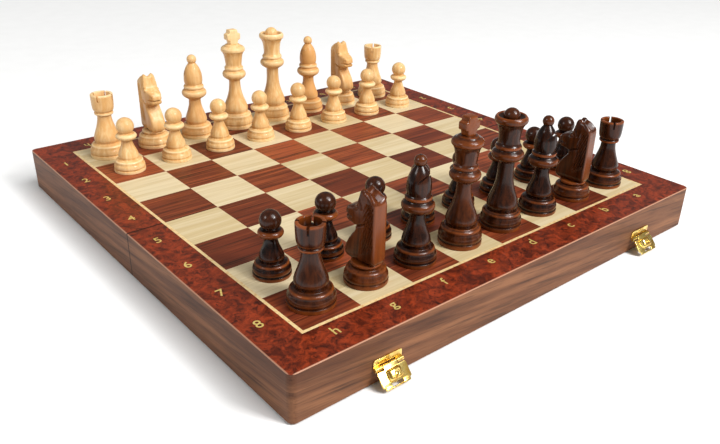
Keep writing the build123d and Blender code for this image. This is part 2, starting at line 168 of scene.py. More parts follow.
class ChessStageSettings(bpy.types.PropertyGroup):
    """The camera and the studio light."""

    azimuth: FloatProperty(name="Azimuth", description="Camera's turn round the set", subtype="ANGLE",
                           default=math.radians(-40.811))
    elevation: FloatProperty(name="Elevation", description="Camera's height over the board", subtype="ANGLE",
                             default=math.radians(26.805))
    roll: FloatProperty(name="Roll", description="Camera's turn about its own axis", subtype="ANGLE",
                        default=math.radians(1.632))
    distance: FloatProperty(name="Distance", description="Camera's distance from its target",
                            default=0.48947, unit="LENGTH")
    target: FloatVectorProperty(name="Target", description="Point the camera looks at", subtype="XYZ",
                                default=(-0.04638, -0.08003, 0.03), unit="LENGTH")
    lens: FloatProperty(name="Lens", description="Focal length in millimetres", default=37.5)
    shift_x: FloatProperty(name="Shift X", description="Sideways lens shift", default=-0.0157)
    shift_y: FloatProperty(name="Shift Y", description="Upward lens shift", default=0.0004)
    flood: FloatProperty(name="Flood", description="Wide lamp over the whole sweep", default=2.1)
    key_power: FloatProperty(name="Key power", description="Softbox at the right", default=14.0, unit="POWER")
    window_power: FloatProperty(name="Window power", description="Small softbox at the left", default=5.0,
                                unit="POWER")
    sky: FloatProperty(name="Studio walls", description="Light from the white walls", default=0.26, min=0)


# ---------------------------------------------------------------- shapes


def through(points, steps=7):
    """A smooth run through a few points: a Catmull-Rom curve with its ends doubled."""
    p = [np.array(q, float) for q in (points[0], *points, points[-1])]
    run = []
    for a, b, c, d in zip(p, p[1:], p[2:], p[3:]):
        for t in np.arange(steps) / steps:
            run.append(b + 0.5 * ((c - a) * t + (2 * a - 5 * b + 4 * c - d) * t**2
                                  + (3 * b - a - 3 * c + d) * t**3))
    return run + [p[-2]]


def outline(*runs):
    """Runs joined at their ends: two points are a straight line, more a smooth curve."""
    points = []
    for run in runs:
        stretch = [np.array(q, float) for q in run] if len(run) == 2 else through(run)
        points += stretch[:-1]
    points.append(np.array(runs[-1][-1], float))
    return np.array(points)


def rounded(corners, radii, steps=5):
    """A closed outline whose corners are rounded, each by its own radius."""
    points = []
    for i, radius in enumerate(radii):
        here = Vector(corners[i])
        before = (Vector(corners[i - 1]) - here).normalized()
        after = (Vector(corners[(i + 1) % len(corners)]) - here).normalized()
        if not radius:
            points.append(here)
            continue
        a, b = here + before * radius, here + after * radius
        for t in (k / steps for k in range(steps + 1)):
            points.append(a * (1 - t) ** 2 + here * 2 * t * (1 - t) + b * t**2)
    return [tuple(p) for p in points]


def link(name, data):
    """A new object in the scene."""
    obj = bpy.data.objects.new(name, data)
    bpy.context.scene.collection.objects.link(obj)
    return obj


def plain_mesh(obj):
    """What an object looks like once its modifiers are worked out; the object itself is removed."""
    graph = bpy.context.evaluated_depsgraph_get()
    mesh = bpy.data.meshes.new_from_object(obj.evaluated_get(graph))
    obj.modifiers.clear()
    bpy.data.objects.remove(obj)
    if not mesh.polygons:
        raise RuntimeError("a shape came out with no faces")
    return mesh


def sheet(outlines, thick, edge):
    """Flat stock cut to outlines in X and Y, holes included, from Z = 0 up, its edges eased."""
    curve = bpy.data.curves.new("sheet", "CURVE")
    curve.dimensions = "2D"
    curve.fill_mode = "BOTH"
    for points in outlines:
        spline = curve.splines.new("POLY")
        spline.points.add(len(points) - 1)
        for point, (x, y) in zip(spline.points, points):
            point.co = (x * MM, y * MM, 0, 1)
        spline.use_cyclic_u = True
    curve.extrude = (thick / 2 - edge) * MM
    curve.bevel_depth = edge * MM
    curve.bevel_resolution = 2
    curve.offset = -edge * MM
    mesh = plain_mesh(link("sheet", curve))
    mesh.transform(Matrix.Translation((0, 0, thick / 2 * MM)))
    return mesh


def block(size, centre, edge):
    """A block with eased edges, in millimetres."""
    bm = bmesh.new()
    bmesh.ops.create_cube(bm, size=1, matrix=Matrix.Diagonal((*size, 1)))
    bmesh.ops.bevel(bm, geom=list(bm.edges), offset=edge, segments=3, profile=0.5, affect="EDGES")
    bmesh.ops.translate(bm, verts=bm.verts, vec=centre)
    bmesh.ops.scale(bm, verts=bm.verts, vec=(MM, MM, MM))
    mesh = bpy.data.meshes.new("block")
    bm.to_mesh(mesh)
    bm.free()
    return mesh


def joined(name, meshes):
    """One mesh from several, its doubles merged."""
    bm = bmesh.new()
    for mesh in meshes:
        bm.from_mesh(mesh)
    bmesh.ops.remove_doubles(bm, verts=bm.verts, dist=0.002 * MM)
    whole = bpy.data.meshes.new(name)
    bm.to_mesh(whole)
    bm.free()
    return whole


def shade(mesh, degrees=32):
    """Smooth shading that keeps every edge sharper than the angle."""
    bm = bmesh.new()
    bm.from_mesh(mesh)
    for face in bm.faces:
        face.smooth = True
    for edge in bm.edges:
        edge.smooth = len(edge.link_faces) == 2 and edge.calc_face_angle(0) < math.radians(degrees)
    bm.to_mesh(mesh)
    bm.free()


def finish_piece(name, mesh, finish, body, slot, *nodes):
    """Show a mesh in its finish, hung on its body, in place of the CAD nodes it stands for."""
    shade(mesh)
    mesh.materials.clear()
    mesh.materials.append(finish)
    obj = link(name, mesh)
    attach(obj, body)
    if nodes:
        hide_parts(*nodes)


# ---------------------------------------------------------------- geometry-node trees


def new_tree(name, sizes):
    """A geometry tree with named number inputs, and its Group Input's outputs."""
    tree = bpy.data.node_groups.new(name, "GeometryNodeTree")
    tree.interface.new_socket("Geometry", in_out="INPUT", socket_type="NodeSocketGeometry")
    tree.interface.new_socket("Geometry", in_out="OUTPUT", socket_type="NodeSocketGeometry")
    for key, value in sizes.items():
        kind = "NodeSocketInt" if isinstance(value, int) else "NodeSocketFloat"
        tree.interface.new_socket(key, in_out="INPUT", socket_type=kind).default_value = value
    tree.interface.new_socket("Material", in_out="INPUT", socket_type="NodeSocketMaterial")
    add = functools.partial(add_node, tree)
    return tree, add, add("NodeGroupInput").node.outputs


def close_tree(add, geometry, sizes):
    """End a tree in Realize Instances and Set Material."""
    real = add("GeometryNodeRealizeInstances", {0: geometry})
    painted = add("GeometryNodeSetMaterial", {0: real, "Material": sizes["Material"]})
    add("NodeGroupOutput", {0: painted})


def grow(maker, data, finish, **sizes):
    """Run a tree on some data with its named inputs set, and return a plain mesh."""
    tree = bpy.data.node_groups.get(maker.__name__) or maker()
    tree.name = maker.__name__
    obj = link("working", data)
    modifier = obj.modifiers.new("shape", "NODES")
    modifier.node_group = tree
    for item in tree.interface.items_tree:
        key = item.name.lower().replace(" ", "_")
        if item.in_out == "INPUT" and key in sizes:
            modifier[item.identifier] = sizes[key]
        elif item.in_out == "INPUT" and item.name == "Material":
            modifier[item.identifier] = finish
    return plain_mesh(obj)


def lathe():
    """Turns the row of points it is given about Z; the points may carry a 'crest' number."""
    tree, add, sizes = new_tree("lathe", {"Segments": 80})
    rings = add("GeometryNodeAttributeDomainSize", {0: sizes["Geometry"]})
    around = add("ShaderNodeMath", {0: sizes["Segments"], 1: 1.0}, operation="ADD")
    grid = add("GeometryNodeMeshGrid", {"Vertices X": rings, "Vertices Y": around})
    index = add("GeometryNodeInputIndex")
    ring = add("ShaderNodeMath", {0: add("ShaderNodeMath", {0: index, 1: around}, operation="DIVIDE")},
               operation="FLOOR")
    place = add("GeometryNodeInputPosition")
    point = add("GeometryNodeSampleIndex", {0: sizes["Geometry"], "Value": place, "Index": ring},
                data_type="FLOAT_VECTOR")
    mark = add("GeometryNodeInputNamedAttribute", {"Name": "crest"}, data_type="FLOAT")
    crest = add("GeometryNodeSampleIndex", {0: sizes["Geometry"], "Value": mark, "Index": ring},
                data_type="FLOAT")
    step = add("ShaderNodeMath", {0: index, 1: around}, operation="MODULO")
    share = add("ShaderNodeMath", {0: step, 1: sizes["Segments"]}, operation="DIVIDE")
    turn = add("ShaderNodeMath", {0: share, 1: -math.tau}, operation="MULTIPLY")
    spun = add("ShaderNodeVectorRotate", {"Vector": point, "Angle": turn}, rotation_type="Z_AXIS")
    marked = add("GeometryNodeStoreNamedAttribute", {0: grid, "Name": "crest", "Value": crest},
                 data_type="FLOAT")
    shaped = add("GeometryNodeSetPosition", {0: marked, "Position": spun})
    merged = add("GeometryNodeMergeByDistance", {0: shaped, "Distance": 0.004 * MM})
    close_tree(add, merged, sizes)
    return tree


def turret_slits():
    """Saws evenly spaced slits down through a turret's wall."""
    tree, add, sizes = new_tree("turret_slits", {"Slits": 4, "Width": 1.3 * MM, "Depth": 5 * MM,
                                                 "Radius": 7 * MM, "Top": 50 * MM, "First": 0.0})
    length = add("ShaderNodeMath", {0: sizes["Radius"], 1: 1.0}, operation="MULTIPLY")
    high = add("ShaderNodeMath", {0: sizes["Depth"], 1: 2.0}, operation="MULTIPLY")
    size = add("ShaderNodeCombineXYZ", {"X": length, "Y": sizes["Width"], "Z": high})
    saw = add("GeometryNodeMeshCube", {"Size": size})
    share = add("ShaderNodeMath", {0: add("GeometryNodeInputIndex"), 1: sizes["Slits"]}, operation="DIVIDE")
    angle = add("ShaderNodeMath", {0: share, 1: math.tau, 2: sizes["First"]}, operation="MULTIPLY_ADD")
    start = add("ShaderNodeCombineXYZ", {"X": sizes["Radius"], "Z": sizes["Top"]})
    spot = add("ShaderNodeVectorRotate", {"Vector": start, "Angle": angle}, rotation_type="Z_AXIS")
    points = add("GeometryNodePoints", {"Count": sizes["Slits"], "Position": spot})
    facing = add("ShaderNodeCombineXYZ", {"Z": angle})
    saws = add("GeometryNodeInstanceOnPoints", {"Points": points, "Instance": saw, "Rotation": facing})
    solid = add("GeometryNodeRealizeInstances", {0: saws})
    cut = add("GeometryNodeMeshBoolean", {0: sizes["Geometry"], 1: solid}, operation="DIFFERENCE",
              solver="EXACT")
    close_tree(add, cut, sizes)
    return tree


def slotted_heads():
    """Sets a domed head on each point, tipped by Tilt, its slot turned its own way."""
    tree, add, sizes = new_tree("slotted_heads", {"Radius": 1.5 * MM, "Height": 0.3 * MM, "Slot": 0.4 * MM,
                                                  "Tilt": 0.0, "Seed": 4})
    ball = add("GeometryNodeMeshUVSphere", {"Segments": 28, "Rings": 14, "Radius": 1.0})
    flat = add("ShaderNodeCombineXYZ", {"X": sizes["Radius"], "Y": sizes["Radius"], "Z": sizes["Height"]})
    dome = add("GeometryNodeTransform", {0: ball, "Scale": flat})
    long = add("ShaderNodeMath", {0: sizes["Radius"], 1: 3.0}, operation="MULTIPLY")
    bar_size = add("ShaderNodeCombineXYZ", {"X": long, "Y": sizes["Slot"], "Z": sizes["Height"]})
    lift = add("ShaderNodeCombineXYZ", {"Z": sizes["Height"]})
    bar = add("GeometryNodeTransform", {0: add("GeometryNodeMeshCube", {"Size": bar_size}),
                                        "Translation": lift})
    head = add("GeometryNodeMeshBoolean", {0: dome, 1: bar}, operation="DIFFERENCE", solver="EXACT")
    heads = add("GeometryNodeInstanceOnPoints", {"Points": sizes["Geometry"], "Instance": head})
    tilt = add("ShaderNodeCombineXYZ", {"X": sizes["Tilt"]})
    tipped = add("GeometryNodeRotateInstances", {0: heads, "Rotation": tilt, "Local Space": True})
    spin = add("FunctionNodeRandomValue", {2: 0.0, 3: math.tau, "Seed": sizes["Seed"]}, out=1,
               data_type="FLOAT")
    about = add("ShaderNodeCombineXYZ", {"Z": spin})
    turned = add("GeometryNodeRotateInstances", {0: tipped, "Rotation": about, "Local Space": True})
    close_tree(add, turned, sizes)
    return tree


# ---------------------------------------------------------------- finishes


def new_material(name):
    """An empty material and the call that adds nodes to it."""
    material = bpy.data.materials.new(name)
    material.use_nodes = True
    material.node_tree.nodes.clear()
    return material, functools.partial(add_node, material.node_tree)


def laid_over(add, under, over, mask, low, high, least=0.0, most=1.0):
    """One colour laid over another, from least to most, as a mask goes from low to high."""
    share = add("ShaderNodeMapRange", {"Value": mask, "From Min": low, "From Max": high, "To Min": least,
                                       "To Max": most})
    return add("ShaderNodeMix", {0: share, 6: under, 7: over}, out=2, data_type="RGBA")


def oiled_walnut():
    """Walnut rails, planed and oiled."""
    # Walnut planed along the grain and oiled: long bands, slanting dark streaks, open pores, a low sheen.
    board = bpy.context.scene.chess_board
    material, add = new_material("Oiled walnut")
    place = add("ShaderNodeTexCoord", out="Object")
    spot = add("ShaderNodeSeparateXYZ", {0: place}).node.outputs
    from_fold = add("ShaderNodeMath", {0: spot["Y"]}, operation="ABSOLUTE")
    facing = add("ShaderNodeSeparateXYZ", {0: add("ShaderNodeNewGeometry", out="Normal")})
    sideways = add("ShaderNodeMath", {0: facing}, operation="ABSOLUTE")
    end_rail = add("ShaderNodeMath", {0: sideways, 1: 0.7}, operation="GREATER_THAN")
    along = add("ShaderNodeMix", {0: end_rail, 2: spot["X"], 3: spot["Y"]}, data_type="FLOAT")
    across = add("ShaderNodeMix", {0: end_rail, 2: spot["Y"], 3: spot["X"]}, data_type="FLOAT")
    slant = add("ShaderNodeMath", {0: along, 1: 0.09, 2: spot["Z"]}, operation="MULTIPLY_ADD")
    grain = add("ShaderNodeCombineXYZ", {"X": along, "Y": across, "Z": slant})
    # Bands about 8 mm wide, streaks about 2 mm, pores half a millimetre, all 15 to 25 times as long
    wide = add("ShaderNodeVectorMath", {0: grain, 1: (0.06, 1, 1)}, operation="MULTIPLY")
    long = add("ShaderNodeVectorMath", {0: grain, 1: (0.04, 1, 1)}, operation="MULTIPLY")
    bands = add("ShaderNodeTexNoise", {"Vector": wide, "Scale": 1 / (8 * MM), "Detail": 4.0,
                                       "Roughness": 0.55, "Distortion": 0.5})
    streaks = add("ShaderNodeTexNoise", {"Vector": long, "Scale": 1 / (2.2 * MM), "Detail": 4.0,
                                         "Roughness": 0.6})
    pores = add("ShaderNodeTexNoise", {"Vector": long, "Scale": 1 / (0.5 * MM), "Detail": 2.0})
    colour = laid_over(add, board.walnut_dark, board.walnut_light, bands, 0.36, 0.64)
    colour = laid_over(add, colour, board.walnut_streak, streaks, 0.50, 0.72, most=0.8)
    colour = laid_over(add, colour, board.walnut_streak, pores, 0.55, 0.72, most=0.45)
    # Painted shade: the rails darken to near black within a millimetre of the fold, where the gap between the
    # halves lies in shadow
    colour = laid_over(add, colour, linear("#140a06"), from_fold, 0.3 * MM, 1.0 * MM, least=0.85, most=0.0)
    relief = add("ShaderNodeBump", {"Height": pores, "Distance": 0.03 * MM, "Strength": 0.5})
    wood = add("ShaderNodeBsdfPrincipled", {"Base Color": colour, "Roughness": 0.5, "IOR": 1.5,
                                            "Specular IOR Level": 0.2, "Normal": relief})
    add("ShaderNodeOutputMaterial", {"Surface": wood})
    return material


def lacquered_bubinga():
    """Border veneer, figured bubinga under gloss lacquer."""
    # Rotary-cut bubinga under gloss lacquer: swirling near-black figure on deep red, brighter at a low angle.
    board = bpy.context.scene.chess_board
    material, add = new_material("Lacquered figured bubinga")
    place = add("ShaderNodeTexCoord", out="Object")
    drift = add("ShaderNodeTexNoise", {"Vector": place, "Scale": 1 / (26 * MM), "Detail": 2.0}, out="Color")
    bent = add("ShaderNodeVectorMath", {0: drift, 1: (18 * MM,) * 3, 2: place}, operation="MULTIPLY_ADD")
    figure = add("ShaderNodeTexNoise", {"Vector": bent, "Scale": 1 / (6 * MM), "Detail": 6.0,
                                        "Roughness": 0.62, "Distortion": 0.8})
    knots = add("ShaderNodeTexNoise", {"Vector": bent, "Scale": 1 / (3.2 * MM), "Detail": 5.0,
                                       "Roughness": 0.6, "Distortion": 1.5})
    fine = add("ShaderNodeTexNoise", {"Vector": place, "Scale": 1 / (0.9 * MM), "Detail": 3.0})
    colour = laid_over(add, board.border_deep, board.border_red, figure, 0.38, 0.62)
    colour = laid_over(add, colour, board.border_figure, knots, 0.54, 0.68, most=0.9)
    colour = laid_over(add, colour, board.border_figure, fine, 0.5, 0.7, most=0.3)
    spot = add("ShaderNodeSeparateXYZ", {0: add("ShaderNodeVectorMath", {0: place}, operation="ABSOLUTE")})
    reach = add("ShaderNodeMath", {0: spot, 1: spot.node.outputs["Y"]}, operation="MAXIMUM")
    # The outer half millimetre is painted paler: a painted highlight along the rounded edge, partly the paler
    # wood where the veneer is sanded thin
    colour = laid_over(add, colour, board.arris, reach, HALF_WIDTH - 0.7 * MM, HALF_WIDTH - 0.3 * MM,
                       most=0.8)
    # Painted shade: the border darkens to its near-black figure colour within a millimetre of the fold, where
    # the gap lies in shadow
    colour = laid_over(add, colour, board.border_figure, spot.node.outputs["Y"], 0.3 * MM, 1.1 * MM,
                       least=0.9, most=0.0)
    relief = add("ShaderNodeBump", {"Height": fine, "Distance": 0.01 * MM, "Strength": 0.3})
    wood = add("ShaderNodeBsdfPrincipled", {"Base Color": colour, "Roughness": 0.4, "IOR": 1.5,
                                            "Specular IOR Level": 0.25, "Normal": relief,
                                            "Coat Weight": 0.08, "Coat Roughness": 0.12})
    add("ShaderNodeOutputMaterial", {"Surface": wood})
    return material


def square_veneer(name, pale, main, line, pitch, lines_shown):
    """Straight-grained squares under lacquer, each its own leaf of veneer, the grain along X."""
    material, add = new_material(name)
    place = add("ShaderNodeTexCoord", out="Object")
    cell = add("ShaderNodeVectorMath", {0: place, 1: (1 / SQUARE, 1 / SQUARE, 0)}, operation="MULTIPLY")
    whole = add("ShaderNodeVectorMath", {0: cell}, operation="FLOOR")
    leaf = add("ShaderNodeTexWhiteNoise", {"Vector": whole}, out="Color")
    own = add("ShaderNodeVectorMath", {0: leaf, 1: place}, operation="ADD")
    wide = add("ShaderNodeVectorMath", {0: own, 1: (0.05, 1, 1)}, operation="MULTIPLY")
    long = add("ShaderNodeVectorMath", {0: own, 1: (0.02, 1, 1)}, operation="MULTIPLY")
    bands = add("ShaderNodeTexNoise", {"Vector": wide, "Scale": 1 / pitch, "Detail": 4.0,
                                       "Roughness": 0.55, "Distortion": 0.3})
    lines = add("ShaderNodeTexNoise", {"Vector": long, "Scale": 3.2 / pitch, "Detail": 4.0,
                                       "Roughness": 0.6})
    offset = add("ShaderNodeMath", {0: leaf.node.outputs["Value"], 1: 0.40, 2: -0.20},
                 operation="MULTIPLY_ADD")
    tone = add("ShaderNodeMath", {0: bands, 1: offset}, operation="ADD")
    colour = laid_over(add, main, pale, tone, 0.34, 0.66)
    colour = laid_over(add, colour, line, lines, 0.48, 0.68, most=lines_shown)
    relief = add("ShaderNodeBump", {"Height": lines, "Distance": 0.012 * MM, "Strength": 0.3})
    wood = add("ShaderNodeBsdfPrincipled", {"Base Color": colour, "Roughness": 0.45, "IOR": 1.5,
                                            "Specular IOR Level": 0.25, "Normal": relief,
                                            "Coat Weight": 0.06, "Coat Roughness": 0.2})
    add("ShaderNodeOutputMaterial", {"Surface": wood})
    return material


def lacquered_holly():
    """Holly stringing under lacquer."""
    # Holly, almost without grain, under the board's lacquer: a clean pale line with faint warm flecks.
    board = bpy.context.scene.chess_board
    material, add = new_material("Lacquered holly stringing")
    place = add("ShaderNodeTexCoord", out="Object")
    flecks = add("ShaderNodeTexNoise", {"Vector": place, "Scale": 1 / (2.5 * MM), "Detail": 4.0})
    colour = laid_over(add, board.stringing_pale, board.stringing_warm, flecks, 0.45, 0.75)
    relief = add("ShaderNodeBump", {"Height": flecks, "Distance": 0.01 * MM, "Strength": 0.3})
    wood = add("ShaderNodeBsdfPrincipled", {"Base Color": colour, "Roughness": 0.34, "IOR": 1.5,
                                            "Normal": relief, "Coat Weight": 0.3, "Coat Roughness": 0.16})
    add("ShaderNodeOutputMaterial", {"Surface": wood})
    return material


def sanded_plywood():
    """Birch plywood panels."""
    # Birch plywood, sanded and left bare: pale, soft-looking wood with cross-banded edges.
    material, add = new_material("Sanded birch plywood")
    place = add("ShaderNodeTexCoord", out="Object")
    spot = add("ShaderNodeSeparateXYZ", {0: place}).node.outputs
    long = add("ShaderNodeVectorMath", {0: place, 1: (0.06, 1, 1)}, operation="MULTIPLY")
    grain = add("ShaderNodeTexNoise", {"Vector": long, "Scale": 1 / (3 * MM), "Detail": 4.0})
    plies = add("ShaderNodeMath", {0: spot["Z"], 1: math.tau / (2.5 * MM)}, operation="MULTIPLY")
    ply = add("ShaderNodeMapRange", {"Value": add("ShaderNodeMath", {0: plies}, operation="SINE"),
                                     "From Min": -0.4, "From Max": 0.4, "To Max": 0.35})
    colour = laid_over(add, linear("#c9a170"), linear("#e0c193"), grain, 0.35, 0.65)
    colour = add("ShaderNodeMix", {0: ply, 6: colour, 7: linear("#a87b4c")}, out=2, data_type="RGBA")
    relief = add("ShaderNodeBump", {"Height": grain, "Distance": 0.04 * MM, "Strength": 0.4})
    wood = add("ShaderNodeBsdfPrincipled", {"Base Color": colour, "Roughness": 0.62, "IOR": 1.5,
                                            "Normal": relief})
    add("ShaderNodeOutputMaterial", {"Surface": wood})
    return material


def wool_felt():
    """Green felt tray lining."""
    # Pressed wool felt: matted fibres, no gloss, a soft bright rim where it turns away.
    material, add = new_material("Pressed wool felt")
    place = add("ShaderNodeTexCoord", out="Object")
    fibres = add("ShaderNodeTexNoise", {"Vector": place, "Scale": 1 / (0.7 * MM), "Detail": 5.0,
                                        "Roughness": 0.7, "Distortion": 1.0})
    clouds = add("ShaderNodeTexNoise", {"Vector": place, "Scale": 1 / (14 * MM), "Detail": 2.0})
    colour = laid_over(add, linear("#12381f"), linear("#2c6a3e"), fibres, 0.3, 0.7)
    cloud = add("ShaderNodeMath", {0: clouds, 1: 0.4}, operation="MULTIPLY")
    colour = add("ShaderNodeMix", {0: cloud, 6: colour, 7: linear("#1a4a2a")}, out=2, data_type="RGBA")
    relief = add("ShaderNodeBump", {"Height": fibres, "Distance": 0.25 * MM, "Strength": 0.8})
    cloth = add("ShaderNodeBsdfPrincipled", {"Base Color": colour, "Roughness": 0.95, "IOR": 1.5,
                                             "Normal": relief, "Sheen Weight": 0.4, "Sheen Roughness": 0.5})
    add("ShaderNodeOutputMaterial", {"Surface": cloth})
    return material


def polished_brass():
    """Pressed and polished brass fittings."""
    # Pressed sheet brass, buffed: warm yellow mirror with faint rubbing marks and a deeper film in hollows.
    board = bpy.context.scene.chess_board
    material, add = new_material("Polished brass")
    place = add("ShaderNodeTexCoord", out="Object")
    film = add("ShaderNodeTexNoise", {"Vector": place, "Scale": 1 / (4 * MM), "Detail": 3.0})
    marks = add("ShaderNodeTexNoise", {"Vector": place, "Scale": 1 / (0.4 * MM), "Detail": 2.0})
    colour = laid_over(add, board.brass_bright, board.brass_deep, film, 0.4, 0.7)
    rough = add("ShaderNodeMapRange", {"Value": film, "To Min": 0.14, "To Max": 0.34})
    relief = add("ShaderNodeBump", {"Height": marks, "Distance": 0.006 * MM, "Strength": 0.4})
    metal = add("ShaderNodeBsdfPrincipled", {"Base Color": colour, "Metallic": 1.0, "Roughness": rough,
                                             "Normal": relief})
    add("ShaderNodeOutputMaterial", {"Surface": metal})
    return material


def stamped_gold():
    """Hot-stamped gold foil coordinates."""
    # Gold foil stamped on the lacquer: flat metallic yellow, slightly broken by the veneer under it.
    board = bpy.context.scene.chess_board
    material, add = new_material("Hot-stamped gold foil")
    place = add("ShaderNodeTexCoord", out="Object")
    breaks = add("ShaderNodeTexNoise", {"Vector": place, "Scale": 1 / (0.8 * MM), "Detail": 3.0})
    colour = laid_over(add, board.gold, board.gold_worn, breaks, 0.45, 0.7)
    relief = add("ShaderNodeBump", {"Height": breaks, "Distance": 0.01 * MM, "Strength": 0.4})
    foil = add("ShaderNodeBsdfPrincipled", {"Base Color": colour, "Metallic": 0.6, "Roughness": 0.45,
                                            "Normal": relief})
    add("ShaderNodeOutputMaterial", {"Surface": foil})
    return material


def turned_wood(name, pale, main, deep, crest, other, roughness, coat):
    """Wood from the lathe: grain up the man, turning lines, crests rubbed to their own colour."""
    material, add = new_material(name)
    place = add("ShaderNodeTexCoord", out="Object")
    rubbed = add("ShaderNodeAttribute", out="Fac", attribute_name="crest")
    thin = add("ShaderNodeAttribute", out="Fac", attribute_name="tone")
    upright = add("ShaderNodeVectorMath", {0: place, 1: (1, 1, 0.10)}, operation="MULTIPLY")
    leaning = add("ShaderNodeVectorMath", {0: place, 1: (1, 1, 0.35)}, operation="MULTIPLY")
    # Grain lines about 2.6 mm apart and ten times as long; clouds in the finish about 9 mm across
    grain = add("ShaderNodeTexNoise", {"Vector": upright, "Scale": 1 / (2.6 * MM), "Detail": 4.0,
                                       "Roughness": 0.6, "Distortion": 0.4})
    clouds = add("ShaderNodeTexNoise", {"Vector": leaning, "Scale": 1 / (9 * MM), "Detail": 3.0,
                                        "Distortion": 0.5})
    colour = laid_over(add, main, pale, grain, 0.42, 0.72)
    colour = laid_over(add, colour, deep, clouds, 0.48, 0.72, most=0.6)
    uneven = add("ShaderNodeMapRange", {"Value": grain, "From Min": 0.3, "From Max": 0.66, "To Min": 0.3})
    coat_thin = add("ShaderNodeMath", {0: thin, 1: uneven}, operation="MULTIPLY", use_clamp=True)
    colour = add("ShaderNodeMix", {0: coat_thin, 6: colour, 7: other}, out=2, data_type="RGBA")
    patchy = add("ShaderNodeMapRange", {"Value": clouds, "From Min": 0.3, "From Max": 0.6, "To Min": 0.35})
    # The crest mark also covers the knight's flat back, whose lighter colour there is painted light
    crest_shown = add("ShaderNodeMath", {0: rubbed, 1: patchy}, operation="MULTIPLY", use_clamp=True)
    colour = add("ShaderNodeMix", {0: crest_shown, 6: colour, 7: crest}, out=2, data_type="RGBA")
    # Tool lines 0.45 mm apart, as the last light cut leaves them
    height = add("ShaderNodeMath", {0: add("ShaderNodeSeparateXYZ", {0: place}, out="Z"),
                                    1: math.tau / (0.45 * MM)}, operation="MULTIPLY")
    lines = add("ShaderNodeMath", {0: height}, operation="SINE")
    uneven_skin = add("ShaderNodeMath", {0: lines, 1: 0.15, 2: grain}, operation="MULTIPLY_ADD")
    relief = add("ShaderNodeBump", {"Height": uneven_skin, "Distance": 0.02 * MM, "Strength": 0.3})
    wood = add("ShaderNodeBsdfPrincipled", {"Base Color": colour, "Roughness": roughness, "IOR": 1.5,
                                            "Specular IOR Level": 0.24, "Normal": relief,
                                            "Coat Weight": coat, "Coat Roughness": 0.1})
    add("ShaderNodeOutputMaterial", {"Surface": wood})
    return material


def lacquered_boxwood():
    """The light men's boxwood."""
    # Boxwood turned and dipped in satin lacquer: creamy yellow, close-grained, with soft highlights.
    men = bpy.context.scene.chess_men
    return turned_wood("Lacquered boxwood", men.box_pale, men.box_main, men.box_deep, men.box_worn,
                       men.box_warm, 0.4, 0.12)


def stained_maple():
    """The dark men's stained maple."""
    # Maple stained nearly black, polished, and rubbed back on its crests: dark gloss with brown rims.
    men = bpy.context.scene.chess_men
    return turned_wood("Stained and polished maple", men.stain_pale, men.stain_main, men.stain_deep,
                       men.stain_worn, men.stain_thin, 0.24, 0.12)


def light_squares():
    """Maple squares."""
    # Sliced maple under lacquer: creamy, with fine straight tan lines.
    board = bpy.context.scene.chess_board
    return square_veneer("Lacquered maple squares", board.light_pale, board.light_main, board.light_line,
                         5 * MM, 0.3)


def dark_squares():
    """Dyed squares."""
    # Sliced sapele dyed red-brown, under lacquer: fine straight near-black lines.
    board = bpy.context.scene.chess_board
    return square_veneer("Lacquered sapele squares", board.dark_pale, board.dark_main, board.dark_line,
                         4 * MM, 0.95)


@functools.cache
def finish(maker):
    """The material a maker makes, made once."""
    return maker()


# ---------------------------------------------------------------- the box


def dress_node(node, maker):
    """Give a CAD node that stays its finish."""
    materials = NODES[node].data.materials
    materials.clear()
    materials.append(finish(maker))


class CHESS_OT_dress_board(bpy.types.Operator):
    """Finish the box: rails, panels, linings, border, stringing and squares"""

    bl_idname = "chess_set.dress_board"
    bl_label = "Finish the box"

    def execute(self, context):
        makers = {"rails": oiled_walnut, "panel": sanded_plywood, "border_veneer": lacquered_bubinga,
                  "stringing": lacquered_holly, "light_squares": light_squares,
                  "dark_squares": dark_squares, "tray_lining": wool_felt}
        for half in HALVES:
            for part, maker in makers.items():
                dress_node(f"{half}_{part}", maker)
        return {"FINISHED"}


def label_mesh(character, x, y, turned_round, height):
    """One coordinate as a thin raised plate, its middle at a place on the board."""
    board = bpy.context.scene.chess_board
    text = bpy.data.curves.new("label", "FONT")
    text.body = character
    text.align_x = "CENTER"
    text.size = height / 0.73
    text.offset = board.boldness * text.size
    text.extrude = 0.02 * MM
    mesh = plain_mesh(link("label", text))
    drop = Matrix.Translation((0, -height / 2, 0))
    turn = Matrix.Rotation(math.pi if turned_round else 0, 4, "Z")
    mesh.transform(Matrix.Translation((x, y, BOARD_TOP + 0.03 * MM)) @ turn @ drop)
    return mesh


class CHESS_OT_make_coordinates(bpy.types.Operator):
    """Stamp the letters and numbers round the board"""

    bl_idname = "chess_set.make_coordinates"
    bl_label = "Coordinates"

    def execute(self, context):
        board = context.scene.chess_board
        halves = {half: [] for half in HALVES}
        for i in range(8):
            middle = FIELD - (i + 0.5) * SQUARE
            near = "front" if middle < 0 else "rear"
            rank = str(i + 1)
            halves[near].append(label_mesh(rank, -board.number_line, middle, False, board.cap_height))
            halves[near].append(label_mesh(rank, board.number_line, middle, True, board.cap_height))
            letter = "abcdefgh"[i]
            along = (3.5 - i) * board.letter_pitch - board.letter_shift
            halves["front"].append(label_mesh(letter, along, -board.letter_line, False, board.cap_height))
            halves["rear"].append(label_mesh(letter, along, board.letter_line, True, board.cap_height))
        for half, meshes in halves.items():
            finish_piece(f"{half}_coordinates", joined("coordinates", meshes), finish(stamped_gold),
                         HALVES[half], "polished_brass")
        return {"FINISHED"}


# ---------------------------------------------------------------- brass fittings

